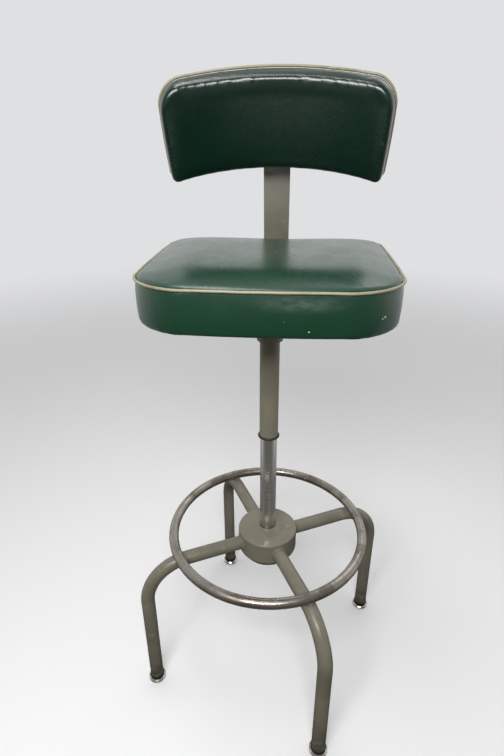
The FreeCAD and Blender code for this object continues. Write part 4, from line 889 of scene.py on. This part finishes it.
# Studio
# A pale floor that fades into the pale surroundings, a long soft lamp over the seat, one
# in front above head height, a weak one behind, and even light from all round.
def make_floor():
    """Matt floor that fades out with distance, so that no horizon shows.

    The camera sees it pale. The light that the object gets from it is that of a floor in
    shade underneath and in front, and of pale walls' feet at the sides and the rear.
    """
    material, tree, shader = new_material("studio_floor", (0.8, 0.8, 0.8), 0.8)
    shader.inputs["Specular IOR Level"].default_value = 0.1
    shade, pale, shown_pale = (0.09, 0.085, 0.075), (0.45, 0.45, 0.45), (0.86, 0.86, 0.86)
    seen = add(tree, "ShaderNodeLightPath").outputs["Is Camera Ray"]
    from_post = add(tree, "ShaderNodeVectorMath", {0: place_on(tree)}, operation="LENGTH").outputs["Value"]
    rearward = add(tree, "ShaderNodeSeparateXYZ", {0: place_on(tree)}).outputs["Y"]
    lit = math_node(tree, "MULTIPLY", spread(tree, from_post, 0.4, 1.1), spread(tree, rearward, -0.7, 0.0))
    tree.links.new(mix(tree, seen, mix(tree, lit, shade, pale), shown_pale), shader.inputs["Base Color"])
    faded = spread(tree, from_post, 1.2, 4.5)
    clear = add(tree, "ShaderNodeBsdfTransparent").outputs[0]
    blended = add(tree, "ShaderNodeMixShader", {0: faded, 1: shader.outputs[0], 2: clear}).outputs[0]
    tree.links.new(blended, tree.nodes["Material Output"].inputs["Surface"])
    return material


floor_count, floor_reach, floor_drop = 96, 5.0, 0.0001
floor_turn = np.linspace(0.0, 2 * np.pi, floor_count, endpoint=False)
floor_mesh = bpy.data.meshes.new("studio_floor")
floor_points = np.stack([np.cos(floor_turn), np.sin(floor_turn), 0 * floor_turn - floor_drop], axis=1)
floor_points *= (floor_reach, floor_reach, 1.0)
floor_mesh.from_pydata(floor_points.tolist(), [], [list(range(floor_count))])
floor_mesh.materials.append(make_floor())
floor = bpy.data.objects.new("studio_floor", floor_mesh)
bpy.context.scene.collection.objects.link(floor)

world = bpy.data.worlds.new("studio")
world.use_nodes = True
bpy.context.scene.world = world
sky = world.node_tree
path = add(sky, "ShaderNodeLightPath").outputs
seen = math_node(sky, "MAXIMUM", path["Is Camera Ray"], path["Is Transmission Ray"])
toward = add(sky, "ShaderNodeTexCoord").outputs["Generated"]
direction = add(sky, "ShaderNodeSeparateXYZ", {0: toward}).outputs
behind = spread(sky, direction["Y"], -0.85, 0.35, 0.24, 0.78)
above = spread(sky, direction["Z"], 0.25, 0.7, 0.0, -0.16)
sky_light = sky.nodes["Background"]
sky.links.new(math_node(sky, "ADD", behind, above), sky_light.inputs["Strength"])
sky_light.inputs["Color"].default_value = (1.0, 1.0, 1.0, 1.0)
backdrop = (0.74, 0.745, 0.76, 1.0)
shown = add(sky, "ShaderNodeBackground", {"Color": backdrop, "Strength": 1.0}).outputs[0]
sky_mix = add(sky, "ShaderNodeMixShader", {0: seen, 1: sky_light.outputs[0], 2: shown}).outputs[0]
sky.links.new(sky_mix, sky.nodes["World Output"].inputs["Surface"])


def soft_lamp(name, place, target, width, depth, power):
    """A flat rectangular lamp at place that faces target."""
    data = bpy.data.lights.new(name, "AREA")
    data.shape = "RECTANGLE"
    data.size, data.size_y = width, depth
    data.energy = power
    lamp = bpy.data.objects.new(name, data)
    lamp.location = place
    lamp.rotation_mode = "QUATERNION"
    lamp.rotation_quaternion = (Vector(target) - Vector(place)).to_track_quat("-Z", "Y")
    lamp.visible_camera = False
    bpy.context.scene.collection.objects.link(lamp)


soft_lamp("lamp_above", (-0.3, -0.1, 2.4), (0.0, 0.0, 0.7), 1.1, 0.4, 9.0)
soft_lamp("lamp_behind", (0.7, 1.4, 2.3), (0.0, 0.1, 0.8), 1.4, 0.8, 4.0)
soft_lamp("lamp_front", (-0.15, -1.15, 1.55), (0.0, 0.0, 0.7), 0.9, 0.4, 22.0)

camera_place = Vector((0.0349, -0.7975, 1.0505))
camera_yaw, camera_pitch, camera_roll = (math.radians(angle) for angle in (-4.756, 24.934, -0.188))
sensor_side = 36.0
camera_data = bpy.data.cameras.new("photo_view")
camera_data.sensor_width = sensor_side
camera_data.lens = 23.32
level = math.cos(camera_pitch)
forward = Vector((math.sin(camera_yaw) * level, math.cos(camera_yaw) * level, -math.sin(camera_pitch)))
level_right = Vector((math.cos(camera_yaw), -math.sin(camera_yaw), 0.0))
level_up = level_right.cross(forward)
right = math.cos(camera_roll) * level_right + math.sin(camera_roll) * level_up
up = math.cos(camera_roll) * level_up - math.sin(camera_roll) * level_right
camera = bpy.data.objects.new("photo_view", camera_data)
camera.matrix_world = Matrix.Translation(camera_place) @ Matrix((right, up, -forward)).transposed().to_4x4()
bpy.context.scene.collection.objects.link(camera)
bpy.context.scene.camera = camera
bpy.context.scene.view_settings.view_transform = "Standard"
